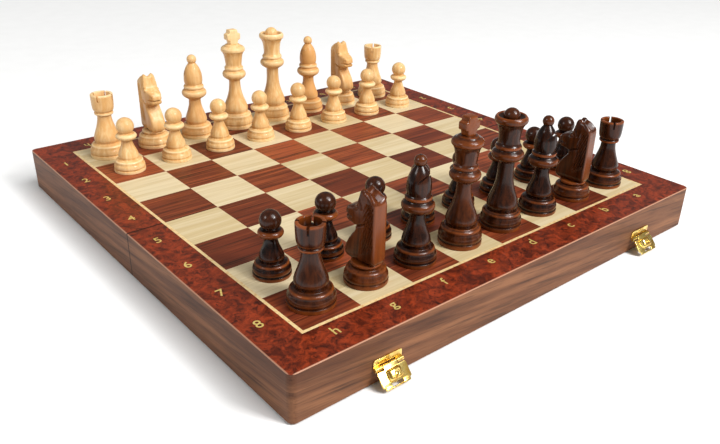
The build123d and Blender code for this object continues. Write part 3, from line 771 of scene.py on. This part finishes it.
# Millimetres. A hasp hangs from its pivot, so its heights are negative
PLATE_THICK = 0.8
BARREL_RADIUS = 1.3
PIN_RADIUS = 0.6
BARREL_HALF = 4.65
BARREL_GAP = 0.3
HASP_THICK = 1.0
HASP_OFFSET = 0.3
HASP_TILT = 42
HASP_NECK = -1.7
HASP_SHOULDER = -10.6
HASP_TIP = -12.2
HASP_TIP_HALF = 8.5
SLOT_HALF = 3.8
SLOT_TOP = -9.5
SLOT_LOW = -11.3
BOSS_SIZE = (9.6, 6.6, 2.3)
BOSS_MIDDLE = -5.5
KEEPER_HALF = 7.5
KEEPER_Z = (0.3, 8.8)
STAPLE_HALF = 3.5
NAIL_X = 5.4
NAIL_Z = 5.6
HINGE_SCREW_PITCH = 22


def points_mesh(points):
    """Loose points for a tree to set things on."""
    mesh = bpy.data.meshes.new("points")
    mesh.from_pydata([tuple(p) for p in points], [], [])
    return mesh


def knuckle(outer, bore, left, right):
    """A rolled barrel about the X axis, in millimetres."""
    ends = [(bore, left), (outer - 0.15, left), (outer, left + 0.15), (outer, right - 0.15),
            (outer - 0.15, right), (bore, right), (bore, left)]
    mesh = grow(lathe, profile_mesh(np.array(ends)), finish(polished_brass), segments=32)
    mesh.transform(Matrix.Rotation(math.radians(90), 4, "Y"))
    return mesh


def flat_on_face(mesh, x, z):
    """Stand a sheet drawn in X and Y against the front face, its Y upwards and its back at the face."""
    mesh.transform(Matrix.Translation((x, FACE, z)) @ Matrix.Rotation(math.radians(90), 4, "X"))
    return mesh


def boss_mesh(width, height, rise):
    """The pressed block on a hasp: steep sides, a crowned face and a round dimple."""
    across, up = 40, 32
    u, v = np.meshgrid(np.linspace(-1, 1, across), np.linspace(-1, 1, up), indexing="ij")
    away = (np.abs(u) ** 5 + np.abs(v) ** 5) ** 0.2
    z = rise * np.sqrt(np.clip(1 - np.clip((away - 0.55) / 0.45, 0, 1) ** 2, 0, 1))
    z += 0.2 * (1 - u**2) * (1 - v**2)
    dimple = np.hypot(u * width / 2, v * height / 2) / 1.15
    z -= 0.75 * np.exp(-(dimple**4)) - 0.12 * np.exp(-(((dimple - 1.35) / 0.25) ** 2))
    points = np.stack([u * width / 2, v * height / 2, z], -1).reshape(-1, 3) * MM
    faces = [(i * up + j, (i + 1) * up + j, (i + 1) * up + j + 1, i * up + j + 1)
             for i in range(across - 1) for j in range(up - 1)]
    mesh = bpy.data.meshes.new("boss")
    mesh.from_pydata([tuple(p) for p in points], [], faces)
    return mesh


class CHESS_OT_make_latches(bpy.types.Operator):
    """Make the two hasp latches, their plates, keepers, pins, screws and nails"""

    bl_idname = "chess_set.make_latches"
    bl_label = "Latches"

    def execute(self, context):
        brass = finish(polished_brass)
        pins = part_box("latch_pins")
        pivot = Vector((0, (pins[0].y + pins[1].y) / 2, (pins[0].z + pins[1].z) / 2))
        plate_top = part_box("latch_plates")[1].z / MM
        pivot_z = pivot.z / MM
        centres = []
        plates = []
        for side in ("left", "right"):
            low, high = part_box(f"hasp_{side}")
            x = (low.x + high.x) / 2
            centres.append(x)
            half = (high.x - low.x) / 2 / MM
            top = plate_top - pivot_z
            gap = BARREL_HALF + BARREL_GAP
            corners = [(-half, 0), (-gap, 0), (-gap, 1.6), (gap, 1.6), (gap, 0), (half, 0), (half, top),
                       (-half, top)]
            plate = sheet([rounded(corners, [0, 0, 0.3, 0.3, 0, 0, 1.4, 1.4])], PLATE_THICK, 0.2)
            plates.append(flat_on_face(plate, x, pivot.z))
            for left, right in ((-half, -gap), (gap, half)):
                barrel = knuckle(BARREL_RADIUS, PIN_RADIUS, left, right)
                barrel.transform(Matrix.Translation((x, pivot.y, pivot.z)))
                plates.append(barrel)
            tongue = [(BARREL_HALF, 0), (BARREL_HALF, HASP_NECK), (half, HASP_NECK), (half, HASP_SHOULDER),
                      (HASP_TIP_HALF, HASP_SHOULDER), (HASP_TIP_HALF, HASP_TIP)]
            tongue = [(-px, py) for px, py in tongue] + tongue[::-1]
            ease = [0, 0.4, 1.2, 1.2, 0.3, 0.9]
            slot = [(-SLOT_HALF, SLOT_LOW), (SLOT_HALF, SLOT_LOW), (SLOT_HALF, SLOT_TOP),
                    (-SLOT_HALF, SLOT_TOP)]
            strap = sheet([rounded(tongue, ease + ease[::-1]), rounded(slot, [0.4] * 4)], HASP_THICK, 0.25)
            boss = boss_mesh(*BOSS_SIZE)
            boss.transform(Matrix.Translation((0, BOSS_MIDDLE * MM, (HASP_THICK - 0.05) * MM)))
            hasp = joined("hasp", [strap, boss])
            upright = Matrix.Rotation(math.radians(90), 4, "X")
            hasp.transform(Matrix.Translation((0, -HASP_OFFSET * MM, 0)) @ upright)
            barrel = knuckle(BARREL_RADIUS, PIN_RADIUS + 0.05, -BARREL_HALF, BARREL_HALF)
            hasp = joined("hasp", [hasp, barrel])
            hang = Matrix.Rotation(math.radians(-HASP_TILT), 4, "X")
            hasp.transform(Matrix.Translation((x, pivot.y, pivot.z)) @ hang)
            finish_piece(f"hasp_{side}_strap", hasp, brass, f"hasp_{side}", "polished_brass",
                         f"hasp_{side}")
        finish_piece("latch_plates_pressed", joined("plates", plates), brass, "front_half",
                     "polished_brass", "latch_plates")
        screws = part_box("latch_screws")
        screw_z = (screws[0].z + screws[1].z) / 2
        spots = points_mesh([(x, FACE - PLATE_THICK * MM, screw_z) for x in centres])
        heads = grow(slotted_heads, spots, brass, radius=1.7 * MM, height=0.45 * MM, slot=0.42 * MM,
                     tilt=math.radians(90), seed=7)
        finish_piece("latch_screw_heads", heads, brass, "front_half", "polished_brass", "latch_screws")
        dress_node("latch_pins", polished_brass)
        self.make_keepers(centres, brass)
        return {"FINISHED"}

    def make_keepers(self, centres, brass):
        """The keepers on the rear face, each with a bent staple and two nails."""
        parts = []
        points = []
        for x in centres:
            low, high = KEEPER_Z
            corners = [(-KEEPER_HALF, low), (KEEPER_HALF, low), (KEEPER_HALF, high), (-KEEPER_HALF, high)]
            plate = sheet([rounded(corners, [0.3, 0.3, 1.4, 1.4])], PLATE_THICK, 0.2)
            wire = [(-STAPLE_HALF, 0), (STAPLE_HALF, 0), (STAPLE_HALF, 4.0), (-STAPLE_HALF, 4.0)]
            hole = [(-2.3, 0.9), (2.3, 0.9), (2.3, 2.9), (-2.3, 2.9)]
            staple = sheet([rounded(wire, [0, 0, 1.2, 1.2]), rounded(hole, [0.2, 0.2, 0.6, 0.6])], 1.5, 0.3)
            outwards = Matrix.Rotation(math.pi, 4, "Z")
            staple.transform(Matrix.Translation((x, FACE - 0.2 * MM, low * MM)) @ outwards)
            parts += [flat_on_face(plate, x, 0), staple]
            points += [(x + dx * MM, FACE - PLATE_THICK * MM, NAIL_Z * MM) for dx in (-NAIL_X, NAIL_X)]
        keepers = joined("keepers", parts)
        heads = grow(slotted_heads, points_mesh(points), brass, radius=1.2 * MM, height=0.5 * MM,
                     slot=0.0001 * MM, tilt=math.radians(90), seed=9)
        half_turn = Matrix.Rotation(math.pi, 4, "Z")
        keepers.transform(half_turn)
        heads.transform(half_turn)
        finish_piece("latch_keepers_pressed", keepers, brass, "rear_half", "polished_brass", "latch_keepers")
        finish_piece("keeper_nail_heads", heads, brass, "rear_half", "polished_brass", "keeper_nails")


class CHESS_OT_make_hinges(bpy.types.Operator):
    """Finish the two fold hinges and set their screws"""

    bl_idname = "chess_set.make_hinges"
    bl_label = "Hinges"

    def execute(self, context):
        brass = finish(polished_brass)
        for node in ("front_hinge_leaves", "rear_hinge_leaves", "fold_hinge_pins"):
            dress_node(node, polished_brass)
        for half, body in HALVES.items():
            low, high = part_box(f"{half}_hinge_screws")
            inset = 1.5 * MM
            y = (low.y + high.y) / 2
            outer, inner = high.x - inset, high.x - inset - HINGE_SCREW_PITCH * MM
            points = [(x * s, y, low.z) for s in (-1, 1) for x in (outer, inner)]
            heads = grow(slotted_heads, points_mesh(points), brass, radius=1.5 * MM, height=0.12 * MM,
                         slot=0.4 * MM, tilt=math.pi, seed=3 if half == "front" else 5)
            heads.transform(Matrix.Translation((0, 0, 0.12 * MM)))
            finish_piece(f"{half}_hinge_screw_heads", heads, brass, body, "polished_brass",
                         f"{half}_hinge_screws")
        return {"FINISHED"}


# ---------------------------------------------------------------- the men's shapes, in millimetres

ROOK_TOP = 48.6
KING_TOP = 82.3
CROSS_THICK = 6.6
KNIGHT_YAW = 8
SLIT_PLACE = (-2.6, 4.6, 55)
SLIT_TURN = 110
SLIT_LEAN = -48


def chained(*steps):
    """A half section whose steps each list the points after the last one's end."""
    runs = []
    end = (0, 0)
    for step in steps:
        runs.append([end, *step])
        end = step[-1]
    return outline(*runs)


def foot(radius, top, shoulder, waist):
    """The turned foot the men share: plinth, groove, dome and the groove over it."""
    return (
        [(radius - 0.5, 0)],
        [(radius - 0.12, 0.12), (radius, 0.6)],
        [(radius, 0.2 * top)],
        [(radius - 0.15, 0.235 * top), (radius - 0.6, 0.25 * top)],
        [(radius - 0.6, 0.285 * top)],
        [(radius - 0.3, 0.32 * top), (radius - 0.15, 0.42 * top), (radius - 0.4, 0.56 * top),
         (radius - 1.1, 0.7 * top), ((radius + shoulder) / 2 + 0.1, 0.88 * top), (shoulder, top - 0.1)],
        [(shoulder - 0.3, top + 0.1), (waist, top + 0.2)],
        [(waist, top + 0.6)],
    )


def collar(rim, z, neck):
    """A thick rounded collar whose rim is at height z, with a bead over it."""
    return (
        [(neck + 0.2, z - 4.8), (neck + 1.1, z - 4.6)],
        [(neck + 1.9, z - 3.9), (rim - 1.6, z - 2.9), (rim - 0.4, z - 1.6), (rim, z), (rim - 0.4, z + 1.5),
         (rim - 1.5, z + 2.6), (rim - 2.2, z + 3.1), (rim - 2.5, z + 3.5)],
        [(rim - 2.5, z + 3.65)],
        [(rim - 2.1, z + 4.0), (rim - 1.9, z + 5.0), (rim - 2.1, z + 5.9), (rim - 2.6, z + 6.4)],
    )


def ball(radius, top, neck):
    """The steps of a ball that stands on a neck."""
    start = -math.acos(neck / radius)
    angles = [start + (math.pi / 2 - start) * i / 16 for i in range(17)]
    return [[(radius * math.cos(a), top - radius + radius * math.sin(a))] for a in angles]


def pawn_profile():
    """A pawn's half section."""
    return chained(
        *foot(11.3, 9.4, 8.0, 7.0),
        [(7.3, 11.8), (6.6, 14.5), (5.0, 18.2), (4.0, 21.4), (3.8, 23.4)],
        [(4.6, 23.8)],
        [(5.6, 24.2), (6.7, 25.0), (7.4, 26.2), (7.3, 27.3), (6.6, 28.2), (5.6, 28.7), (4.8, 28.9)],
        *ball(6.3, 40.3, 4.2),
    )


def rook_profile():
    """A rook's half section, down into his hollow top."""
    top = ROOK_TOP
    return chained(
        *foot(13.6, 10.8, 9.8, 8.7),
        [(9.5, 14.0), (9.0, 17.0), (6.9, 22.8), (5.5, 28.0), (5.1, 32.2)],
        [(5.9, 32.6)],
        [(6.7, 33.0), (7.0, 33.8), (6.8, 34.6), (6.4, 35.0)],
        [(6.6, 35.4)],
        [(7.1, 36.0), (7.5, 36.8), (7.9, 39.0), (8.1, 43.0), (8.2, top - 0.7)],
        [(8.1, top - 0.2), (7.8, top)],
        [(6.4, top)],
        [(6.1, top - 0.2), (6.1, top - 0.7)],
        [(5.9, 43.6)],
        [(5.5, 43.3), (0, 43.2)],
    )


def bishop_profile():
    """A bishop's half section."""
    return chained(
        *foot(12.9, 10.6, 9.2, 8.0),
        [(8.7, 13.6), (8.1, 16.6), (6.3, 21.6), (5.0, 26.6), (4.8, 31.4)],
        *collar(9.9, 36.2, 4.8),
        [(6.9, 43.4)],
        [(7.35, 46.0), (7.3, 49.0), (7.0, 51.8), (6.1, 54.8), (5.0, 57.2), (3.4, 59.6)],
        *ball(3.8, 67.0, 2.7),
    )


def queen_profile():
    """A queen's half section: flared crown with a rolled rim, dished top and ball."""
    return chained(
        *foot(13.6, 12.2, 10.6, 9.3),
        [(10.1, 15.8), (9.4, 19.4), (7.2, 25.4), (5.6, 32.0), (5.1, 39.0), (5.1, 45.0)],
        *collar(10.2, 49.8, 5.1),
        [(7.2, 56.9)],
        [(6.9, 57.8), (6.8, 60.5), (7.4, 65.6), (8.2, 68.2), (9.2, 70.0)],
        [(10.1, 71.0), (10.4, 72.2), (10.2, 73.6), (9.2, 74.8)],
        [(8.4, 74.6), (7.2, 73.4), (6.2, 72.7), (5.4, 72.6)],
        *ball(5.2, 79.5, 4.9),
    )


def king_profile():
    """A king's half section up to the cap under his cross."""
    return chained(
        *foot(13.8, 12.6, 10.6, 9.2),
        [(10.0, 16.2), (9.2, 19.8), (6.9, 25.6), (5.3, 31.6), (4.7, 37.0), (4.7, 40.8)],
        *collar(9.7, 45.6, 4.7),
        [(6.8, 52.6)],
        [(6.6, 53.6), (6.9, 56.4), (7.5, 60.6), (8.2, 62.8), (9.0, 64.2)],
        [(9.7, 65.0), (9.9, 66.1), (9.6, 67.4), (8.5, 68.5)],
        [(6.9, 69.1)],
        [(6.2, 69.9), (5.0, 70.4), (3.0, 70.8)],
        [(0, 70.8)],
    )


def knight_profile():
    """The half section of a knight's turned foot."""
    return chained(
        *foot(12.9, 10.2, 9.2, 8.0),
        [(8.5, 11.1), (8.9, 11.8), (8.7, 12.6), (8.2, 13.0)],
        [(0, 13.0)],
    )


def profile_mesh(points):
    """A half section's points for the lathe, each with how far it stands proud as 'crest'."""
    gaps = np.linalg.norm(np.diff(points, axis=0), axis=1)
    keep = np.concatenate([[True], gaps > 0.01])
    points = points[keep]
    run = np.concatenate([[0], np.cumsum(np.linalg.norm(np.diff(points, axis=0), axis=1))])
    reach = 1.3
    before, after = (np.stack([np.interp(run + d, run, points[:, k]) for k in (0, 1)], 1)
                     for d in (-reach, reach))
    chord = after - before
    chord /= np.linalg.norm(chord, axis=1)[:, None] + 1e-9
    proud = ((points - (before + after) / 2) * np.stack([chord[:, 1], -chord[:, 0]], 1)).sum(1)
    mesh = points_mesh([(r * MM, 0, z * MM) for r, z in points])
    set_number(mesh, "crest", np.clip((proud - 0.11) / 0.36, 0, 1))
    return mesh


def set_number(mesh, name, values):
    """Store one number on each point of a mesh."""
    mesh.attributes.new(name, "FLOAT", "POINT").data.foreach_set("value", np.asarray(values, np.float32))


def turn_man(profile, timber):
    """Turn a profile about Z with its foot on Z = 0."""
    return grow(lathe, profile_mesh(profile), timber, segments=bpy.context.scene.chess_men.segments)


# ---------------------------------------------------------------- the carved horse


def horse_outline():
    """The horse's side view, forwards along -Y and up along Z."""
    return outline(
        [(5.4, 12.4), (8.6, 12.9), (9.6, 15.0)],
        [(9.6, 15.0), (9.6, 48.5)],
        [(9.6, 48.5), (9.0, 51.0), (7.6, 53.0), (4.6, 55.4), (2.4, 56.2)],
        [(2.4, 56.2), (1.7, 57.2), (0.8, 57.5)],
        [(0.8, 57.5), (-0.8, 57.1), (-1.9, 55.6), (-2.4, 52.6), (-3.1, 49.4), (-4.1, 47.3), (-5.6, 46.2)],
        [(-5.6, 46.2), (-8.6, 45.4), (-11.2, 44.2), (-12.5, 42.6), (-12.9, 40.8), (-12.8, 39.5)],
        [(-12.8, 39.5), (-10.6, 39.1)],
        [(-10.6, 39.1), (-10.8, 38.6)],
        [(-10.8, 38.6), (-12.5, 38.5)],
        [(-12.5, 38.5), (-12.3, 37.0), (-11.6, 36.0), (-10.2, 35.5), (-7.6, 35.3), (-5.4, 34.8)],
        [(-5.4, 34.8), (-4.4, 33.9), (-4.3, 32.6), (-5.4, 30.6), (-7.6, 27.8), (-9.7, 24.6), (-11.2, 21.4),
         (-12.1, 18.0), (-11.8, 15.4), (-10.6, 13.7), (-7.6, 12.4)],
        [(-7.6, 12.4), (5.4, 12.4)],
    )


def groove(y, z, start, end, width):
    """How deep a straight cut is at each point, from 0 to 1."""
    run = np.subtract(end, start)
    share = np.clip(((y - start[0]) * run[0] + (z - start[1]) * run[1]) / (run @ run), 0, 1)
    gap = np.hypot(y - start[0] - share * run[0], z - start[1] - share * run[1])
    return np.exp(-((gap / width) ** 2))


def horse_half_thickness(y, z, inside):
    """Half the horse's thickness at points a distance inside its outline."""
    half = np.full_like(y, 5.8)
    half -= np.clip((-y - 4.0) / 9.0, 0, 1) ** 1.2 * 1.7 * np.clip((z - 32) / 2, 0, 1)
    half -= np.clip((z - 51.0) / 6.5, 0, 1) * 1.5
    half += 0.2 * np.exp(-(((y + 3.2) / 4.5) ** 2 + ((z - 42.5) / 5.0) ** 2))
    # Long steep strands of mane, 1.5 mm apart, between the cheek and the back
    across = 0.94 * y - 0.35 * z + 0.35 * np.sin(z / 5)
    strands = 0.5 + 0.5 * np.cos(math.tau * across / 1.5)
    front = 2.6 - 0.10 * (50 - z)
    mane = np.clip((y - front) / 1.5, 0, 1) * np.clip((8.9 - y) / 0.6, 0, 1)
    mane *= np.clip((z - 19 - 0.5 * (y - 2)) / 4, 0, 1) * np.clip((51 - z) / 3, 0, 1)
    half -= 0.7 * mane * strands**1.5 + 0.2 * mane
    half -= 1.3 * groove(y, z, (-5.0, 34.4), (2.2, 37.2), 0.5)
    half -= 0.8 * groove(y, z, (-12.8, 38.8), (-7.6, 39.0), 0.4)
    half -= 0.6 * groove(y, z, (-1.6, 52.0), (0.6, 46.0), 0.5)
    half -= 0.7 * np.exp(-(((y + 11.2) / 0.75) ** 2 + ((z - 41.6) / 0.6) ** 2))
    eye = np.hypot((y + 3.6) / 1.15, (z - 46.0) / 0.9)
    half += 0.4 * np.exp(-(eye**2) * 1.2) - 0.4 * np.exp(-(((eye - 1.5) / 0.35) ** 2))
    reach = np.where(y > 7.6, 1.9, 2.2)
    near = np.clip(1 - inside / reach, 0, 1)
    return half - 1.5 * (1 - np.sqrt(1 - near**2)) - 1.6 * np.clip((17.5 - z) / 5, 0, 1) ** 2


def nearest_on(rim, points):
    """How far each point is from a closed outline, and whether it is inside it."""
    a, b = rim, np.roll(rim, -1, axis=0)
    run = b - a
    offset = points[:, None] - a[None]
    share = np.clip((offset * run).sum(2) / (run * run).sum(1), 0, 1)
    gap = np.linalg.norm(offset - share[..., None] * run, axis=2).min(1)
    crosses = (a[:, 1] > points[:, None, 1]) != (b[:, 1] > points[:, None, 1])
    rise = np.where(run[:, 1] == 0, 1e-12, run[:, 1])
    at = a[:, 0] + (points[:, None, 1] - a[:, 1]) * run[:, 0] / rise
    return gap, (crosses & (points[:, None, 0] < at)).sum(1) % 2 == 1


def horse_mesh():
    """The carved horse: two relief-carved sides joined round the outline, closed."""
    corners = horse_outline()
    step = 0.34
    rim = []
    for a, b in zip(corners, corners[1:]):
        count = max(1, round(float(np.linalg.norm(b - a)) / step))
        rim += [a + (b - a) * i / count for i in range(count)]
    rim = np.array(rim)
    low, high = rim.min(0), rim.max(0)
    y, z = np.meshgrid(np.arange(low[0], high[0], step), np.arange(low[1], high[1], step))
    y[1::2] += step / 2
    inner = np.stack([y.ravel(), z.ravel()], 1)
    gap, is_in = nearest_on(rim, inner)
    keep = is_in & (gap > 0.6 * step)
    points = np.vstack([rim, inner[keep]])
    inside = np.concatenate([np.zeros(len(rim)), gap[keep]])
    edges = [(i, (i + 1) % len(rim)) for i in range(len(rim))]
    found = delaunay_2d_cdt([Vector(p) for p in points], edges, [list(range(len(rim)))], 1, 1e-6)
    flat = np.array([tuple(v) for v in found[0]])
    source = [s[0] for s in found[3]]
    half = horse_half_thickness(flat[:, 0], flat[:, 1], inside[source])
    bm = bmesh.new()
    sides = [[bm.verts.new((s * h * MM, y * MM, z * MM)) for (y, z), h in zip(flat, half)] for s in (-1, 1)]
    for triangle in found[2]:
        for side in sides:
            bm.faces.new([side[i] for i in triangle])
    index = {s: i for i, s in enumerate(source)}
    across = 10
    rows = []
    for i in (index[k] for k in range(len(rim))):
        y, z = flat[i]
        ears = min(1, max(0, (y + 2.4) / 1.5)) * min(1, max(0, (z - 49.5) / 3.5))
        row = [sides[0][i]]
        for share in (k / across for k in range(1, across)):
            valley = ears * 2.2 * (1 - abs(2 * share - 1)) ** 0.8
            row.append(bm.verts.new(((2 * share - 1) * half[i] * MM, y * MM, (z - valley) * MM)))
        rows.append(row + [sides[1][i]])
    for row, following in zip(rows, rows[1:] + rows[:1]):
        for k in range(across):
            bm.faces.new([row[k], row[k + 1], following[k + 1], following[k]])
    bmesh.ops.recalc_face_normals(bm, faces=bm.faces)
    mesh = bpy.data.meshes.new("horse")
    bm.to_mesh(mesh)
    bm.free()
    places = np.array([v.co for v in mesh.vertices]) / MM
    # Painted light: the flat back gets half the crest colour, lighter where the key light falls on it
    set_number(mesh, "crest", np.where(places[:, 1] > 9.3, 0.5, 0.0))
    return mesh


# ---------------------------------------------------------------- standing the men


def pawn(timber):
    """A pawn."""
    return turn_man(pawn_profile(), timber)


def rook(timber):
    """A rook with four slits in his turret."""
    return grow(turret_slits, turn_man(rook_profile(), timber), timber, top=ROOK_TOP * MM, depth=4.8 * MM,
                radius=7.1 * MM, first=math.radians(45))


def knight(timber):
    """A knight facing -Y: the carved horse on a turned foot."""
    return joined("knight", [turn_man(knight_profile(), timber), horse_mesh()])


def bishop(timber):
    """A bishop with the slanting slit in his mitre."""
    obj = link("bishop", turn_man(bishop_profile(), timber))
    saw = link("saw", block((9, 20, 0.9), (0, 0, 0), 0.05))
    lean = Matrix.Rotation(math.radians(SLIT_TURN), 4, "Z") @ Matrix.Rotation(math.radians(SLIT_LEAN), 4, "Y")
    saw.data.transform(Matrix.Translation(Vector(SLIT_PLACE) * MM) @ lean)
    cut = obj.modifiers.new("cut", "BOOLEAN")
    cut.operation = "DIFFERENCE"
    cut.solver = "EXACT"
    cut.object = saw
    mesh = plain_mesh(obj)
    bpy.data.objects.remove(saw)
    return mesh


def queen(timber):
    """A queen."""
    return turn_man(queen_profile(), timber)


def king(timber):
    """A king with his flared cross."""
    side = [(3.2, 70.2), (3.7, 72.2), (4.0, 73.6), (6.1, 74.4), (6.1, 78.9), (3.9, 79.6), (3.5, KING_TOP)]
    corners = side + [(-x, z) for x, z in reversed(side)]
    ease = [0, 0.5, 0.6, 0.9, 0.9, 0.6, 0.9]
    cross = sheet([rounded(corners, ease + ease[::-1])], CROSS_THICK, 0.9)
    upright = Matrix.Rotation(math.radians(90), 4, "X")
    cross.transform(Matrix.Translation((0, CROSS_THICK / 2 * MM, 0)) @ upright)
    set_number(cross, "crest", np.full(len(cross.vertices), 0.8))
    return joined("king", [turn_man(king_profile(), timber), cross])


TONES = {
    "black_king_e8": 0.45, "black_knight_b8": 0.5, "black_knight_g8": 0.8, "black_queen_d8": 0.2,
    "black_rook_a8": 0.2, "black_rook_h8": 0.3, "black_bishop_c8": 0.05, "black_bishop_f8": 0.1,
    "white_bishop_c1": 0.8, "white_bishop_f1": 0.3, "white_knight_b1": 0.25, "white_rook_h1": 0.15,
}


def stand_men(kind, maker):
    """Make one kind of man in both woods and stand a copy on each of his squares."""
    for colour, timber_maker, turn in (("white", lacquered_boxwood, 0), ("black", stained_maple, math.pi)):
        timber = finish(timber_maker)
        model = maker(timber)
        for node in sorted(n for n in NODES if n.startswith(f"{colour}_{kind}_")):
            x = FIELD - ("abcdefgh".index(node[-2]) + 0.5) * SQUARE
            y = FIELD - (int(node[-1]) - 0.5) * SQUARE
            man = model.copy()
            yaw = turn + math.radians(KNIGHT_YAW) if colour == "black" and kind == "knight" else turn
            man.transform(Matrix.Translation((x, y, BOARD_TOP)) @ Matrix.Rotation(yaw, 4, "Z"))
            set_number(man, "tone", np.full(len(man.vertices), TONES.get(node, 0.0)))
            slot = "boxwood_men" if colour == "white" else "stained_men"
            finish_piece(f"{node}_turned", man, timber, node, slot, node)


class CHESS_OT_make_pawns(bpy.types.Operator):
    """Turn the sixteen pawns"""

    bl_idname = "chess_set.make_pawns"
    bl_label = "Pawns"

    def execute(self, context):
        stand_men("pawn", pawn)
        return {"FINISHED"}


class CHESS_OT_make_rooks(bpy.types.Operator):
    """Turn the four rooks and saw their turrets"""

    bl_idname = "chess_set.make_rooks"
    bl_label = "Rooks"

    def execute(self, context):
        stand_men("rook", rook)
        return {"FINISHED"}


class CHESS_OT_make_knights(bpy.types.Operator):
    """Carve the four knights"""

    bl_idname = "chess_set.make_knights"
    bl_label = "Knights"

    def execute(self, context):
        stand_men("knight", knight)
        return {"FINISHED"}


class CHESS_OT_make_bishops(bpy.types.Operator):
    """Turn the four bishops and saw their mitres"""

    bl_idname = "chess_set.make_bishops"
    bl_label = "Bishops"

    def execute(self, context):
        stand_men("bishop", bishop)
        return {"FINISHED"}


class CHESS_OT_make_queens(bpy.types.Operator):
    """Turn the two queens"""

    bl_idname = "chess_set.make_queens"
    bl_label = "Queens"

    def execute(self, context):
        stand_men("queen", queen)
        return {"FINISHED"}


class CHESS_OT_make_kings(bpy.types.Operator):
    """Turn the two kings and set their crosses"""

    bl_idname = "chess_set.make_kings"
    bl_label = "Kings"

    def execute(self, context):
        stand_men("king", king)
        return {"FINISHED"}


# ---------------------------------------------------------------- stage


def softbox(name, place, aim, size, power):
    """A square area light aimed at a point."""
    light = bpy.data.lights.new(name, "AREA")
    light.size = size
    light.energy = power
    obj = link(name, light)
    obj.location = place
    obj.rotation_euler = (Vector(aim) - Vector(place)).to_track_quat("-Z", "Y").to_euler()


class CHESS_OT_set_stage(bpy.types.Operator):
    """Lay the floor, set the lights and place the camera"""

    bl_idname = "chess_set.set_stage"
    bl_label = "Stage"

    def execute(self, context):
        scene = context.scene
        stage = scene.chess_stage
        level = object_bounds()[0][2]
        material, add = new_material("White paper sweep")
        place = add("ShaderNodeTexCoord", out="Object")
        fibre = add("ShaderNodeTexNoise", {"Vector": place, "Scale": 40.0})
        shade_of = add("ShaderNodeMix", {0: fibre, 6: linear("#f4f4f3"), 7: linear("#fafaf9")}, out=2,
                       data_type="RGBA")
        paper = add("ShaderNodeBsdfPrincipled", {"Base Color": shade_of, "Roughness": 0.8})
        add("ShaderNodeOutputMaterial", {"Surface": paper})
        floor = bpy.data.meshes.new("floor")
        reach = 6.0
        floor.from_pydata([(-reach, -reach, level), (reach, -reach, level), (reach, reach, level),
                           (-reach, reach, level)], [], [(0, 1, 2, 3)])
        floor.materials.append(material)
        link("floor", floor)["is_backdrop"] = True
        world = bpy.data.worlds.new("Studio")
        world.use_nodes = True
        world.node_tree.nodes["Background"].inputs["Color"].default_value = (1, 1, 1, 1)
        world.node_tree.nodes["Background"].inputs["Strength"].default_value = stage.sky
        scene.world = world
        scene.view_settings.view_transform = "Standard"
        softbox("key", (0.35, -1.1, 0.95), (0, 0, 0.03), 0.35, stage.key_power)
        softbox("window", (-1.2, 0.1, 0.9), (0, 0, 0.03), 0.4, stage.window_power)
        flood = bpy.data.lights.new("flood", "SUN")
        flood.energy = stage.flood
        flood.angle = math.radians(35)
        lamp = link("flood", flood)
        lamp.rotation_euler = Vector((0.35, -0.8, 1.2)).to_track_quat("Z", "Y").to_euler()
        a, e, r = stage.azimuth, stage.elevation, stage.roll
        back = Vector((math.sin(a) * math.cos(e), -math.cos(a) * math.cos(e), math.sin(e)))
        level_right = Vector((0, 0, 1)).cross(back).normalized()
        level_up = back.cross(level_right)
        right = math.cos(r) * level_right + math.sin(r) * level_up
        up = math.cos(r) * level_up - math.sin(r) * level_right
        camera = bpy.data.cameras.new("camera")
        camera.lens = stage.lens
        camera.shift_x = stage.shift_x
        camera.shift_y = stage.shift_y
        camera.clip_start = 0.01
        obj = link("camera", camera)
        spot = Vector(stage.target) + back * stage.distance
        obj.matrix_world = Matrix.Translation(spot) @ Matrix((right, up, back)).transposed().to_4x4()
        scene.camera = obj
        return {"FINISHED"}


OPERATORS = (
    CHESS_OT_dress_board,
    CHESS_OT_make_coordinates,
    CHESS_OT_make_latches,
    CHESS_OT_make_hinges,
    CHESS_OT_make_pawns,
    CHESS_OT_make_rooks,
    CHESS_OT_make_knights,
    CHESS_OT_make_bishops,
    CHESS_OT_make_queens,
    CHESS_OT_make_kings,
    CHESS_OT_set_stage,
)
SETTINGS = {"chess_board": ChessBoardSettings, "chess_men": ChessMenSettings,
            "chess_stage": ChessStageSettings}


class CHESS_PT_panel(bpy.types.Panel):
    """Lists the steps that dress the set"""

    bl_label = "Chess set"
    bl_idname = "CHESS_PT_panel"
    bl_space_type = "VIEW_3D"
    bl_region_type = "UI"
    bl_category = "Chess set"

    def draw(self, context):
        for operator in OPERATORS:
            self.layout.operator(operator.bl_idname)


def register():
    """Register the settings, operators and panel."""
    for name, group in SETTINGS.items():
        bpy.utils.register_class(group)
        setattr(bpy.types.Scene, name, PointerProperty(type=group))
    for cls in (*OPERATORS, CHESS_PT_panel):
        bpy.utils.register_class(cls)


def unregister():
    """Undo register."""
    for cls in (CHESS_PT_panel, *reversed(OPERATORS)):
        bpy.utils.unregister_class(cls)
    for name, group in SETTINGS.items():
        delattr(bpy.types.Scene, name)
        bpy.utils.unregister_class(group)


def main():
    """Dress the whole set."""
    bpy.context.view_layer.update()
    register()
    bpy.ops.chess_set.dress_board()
    bpy.ops.chess_set.make_coordinates()
    bpy.ops.chess_set.make_latches()
    bpy.ops.chess_set.make_hinges()
    bpy.ops.chess_set.make_pawns()
    bpy.ops.chess_set.make_rooks()
    bpy.ops.chess_set.make_knights()
    bpy.ops.chess_set.make_bishops()
    bpy.ops.chess_set.make_queens()
    bpy.ops.chess_set.make_kings()
    bpy.ops.chess_set.set_stage()
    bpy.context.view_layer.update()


if __name__ == "__main__":
    main()
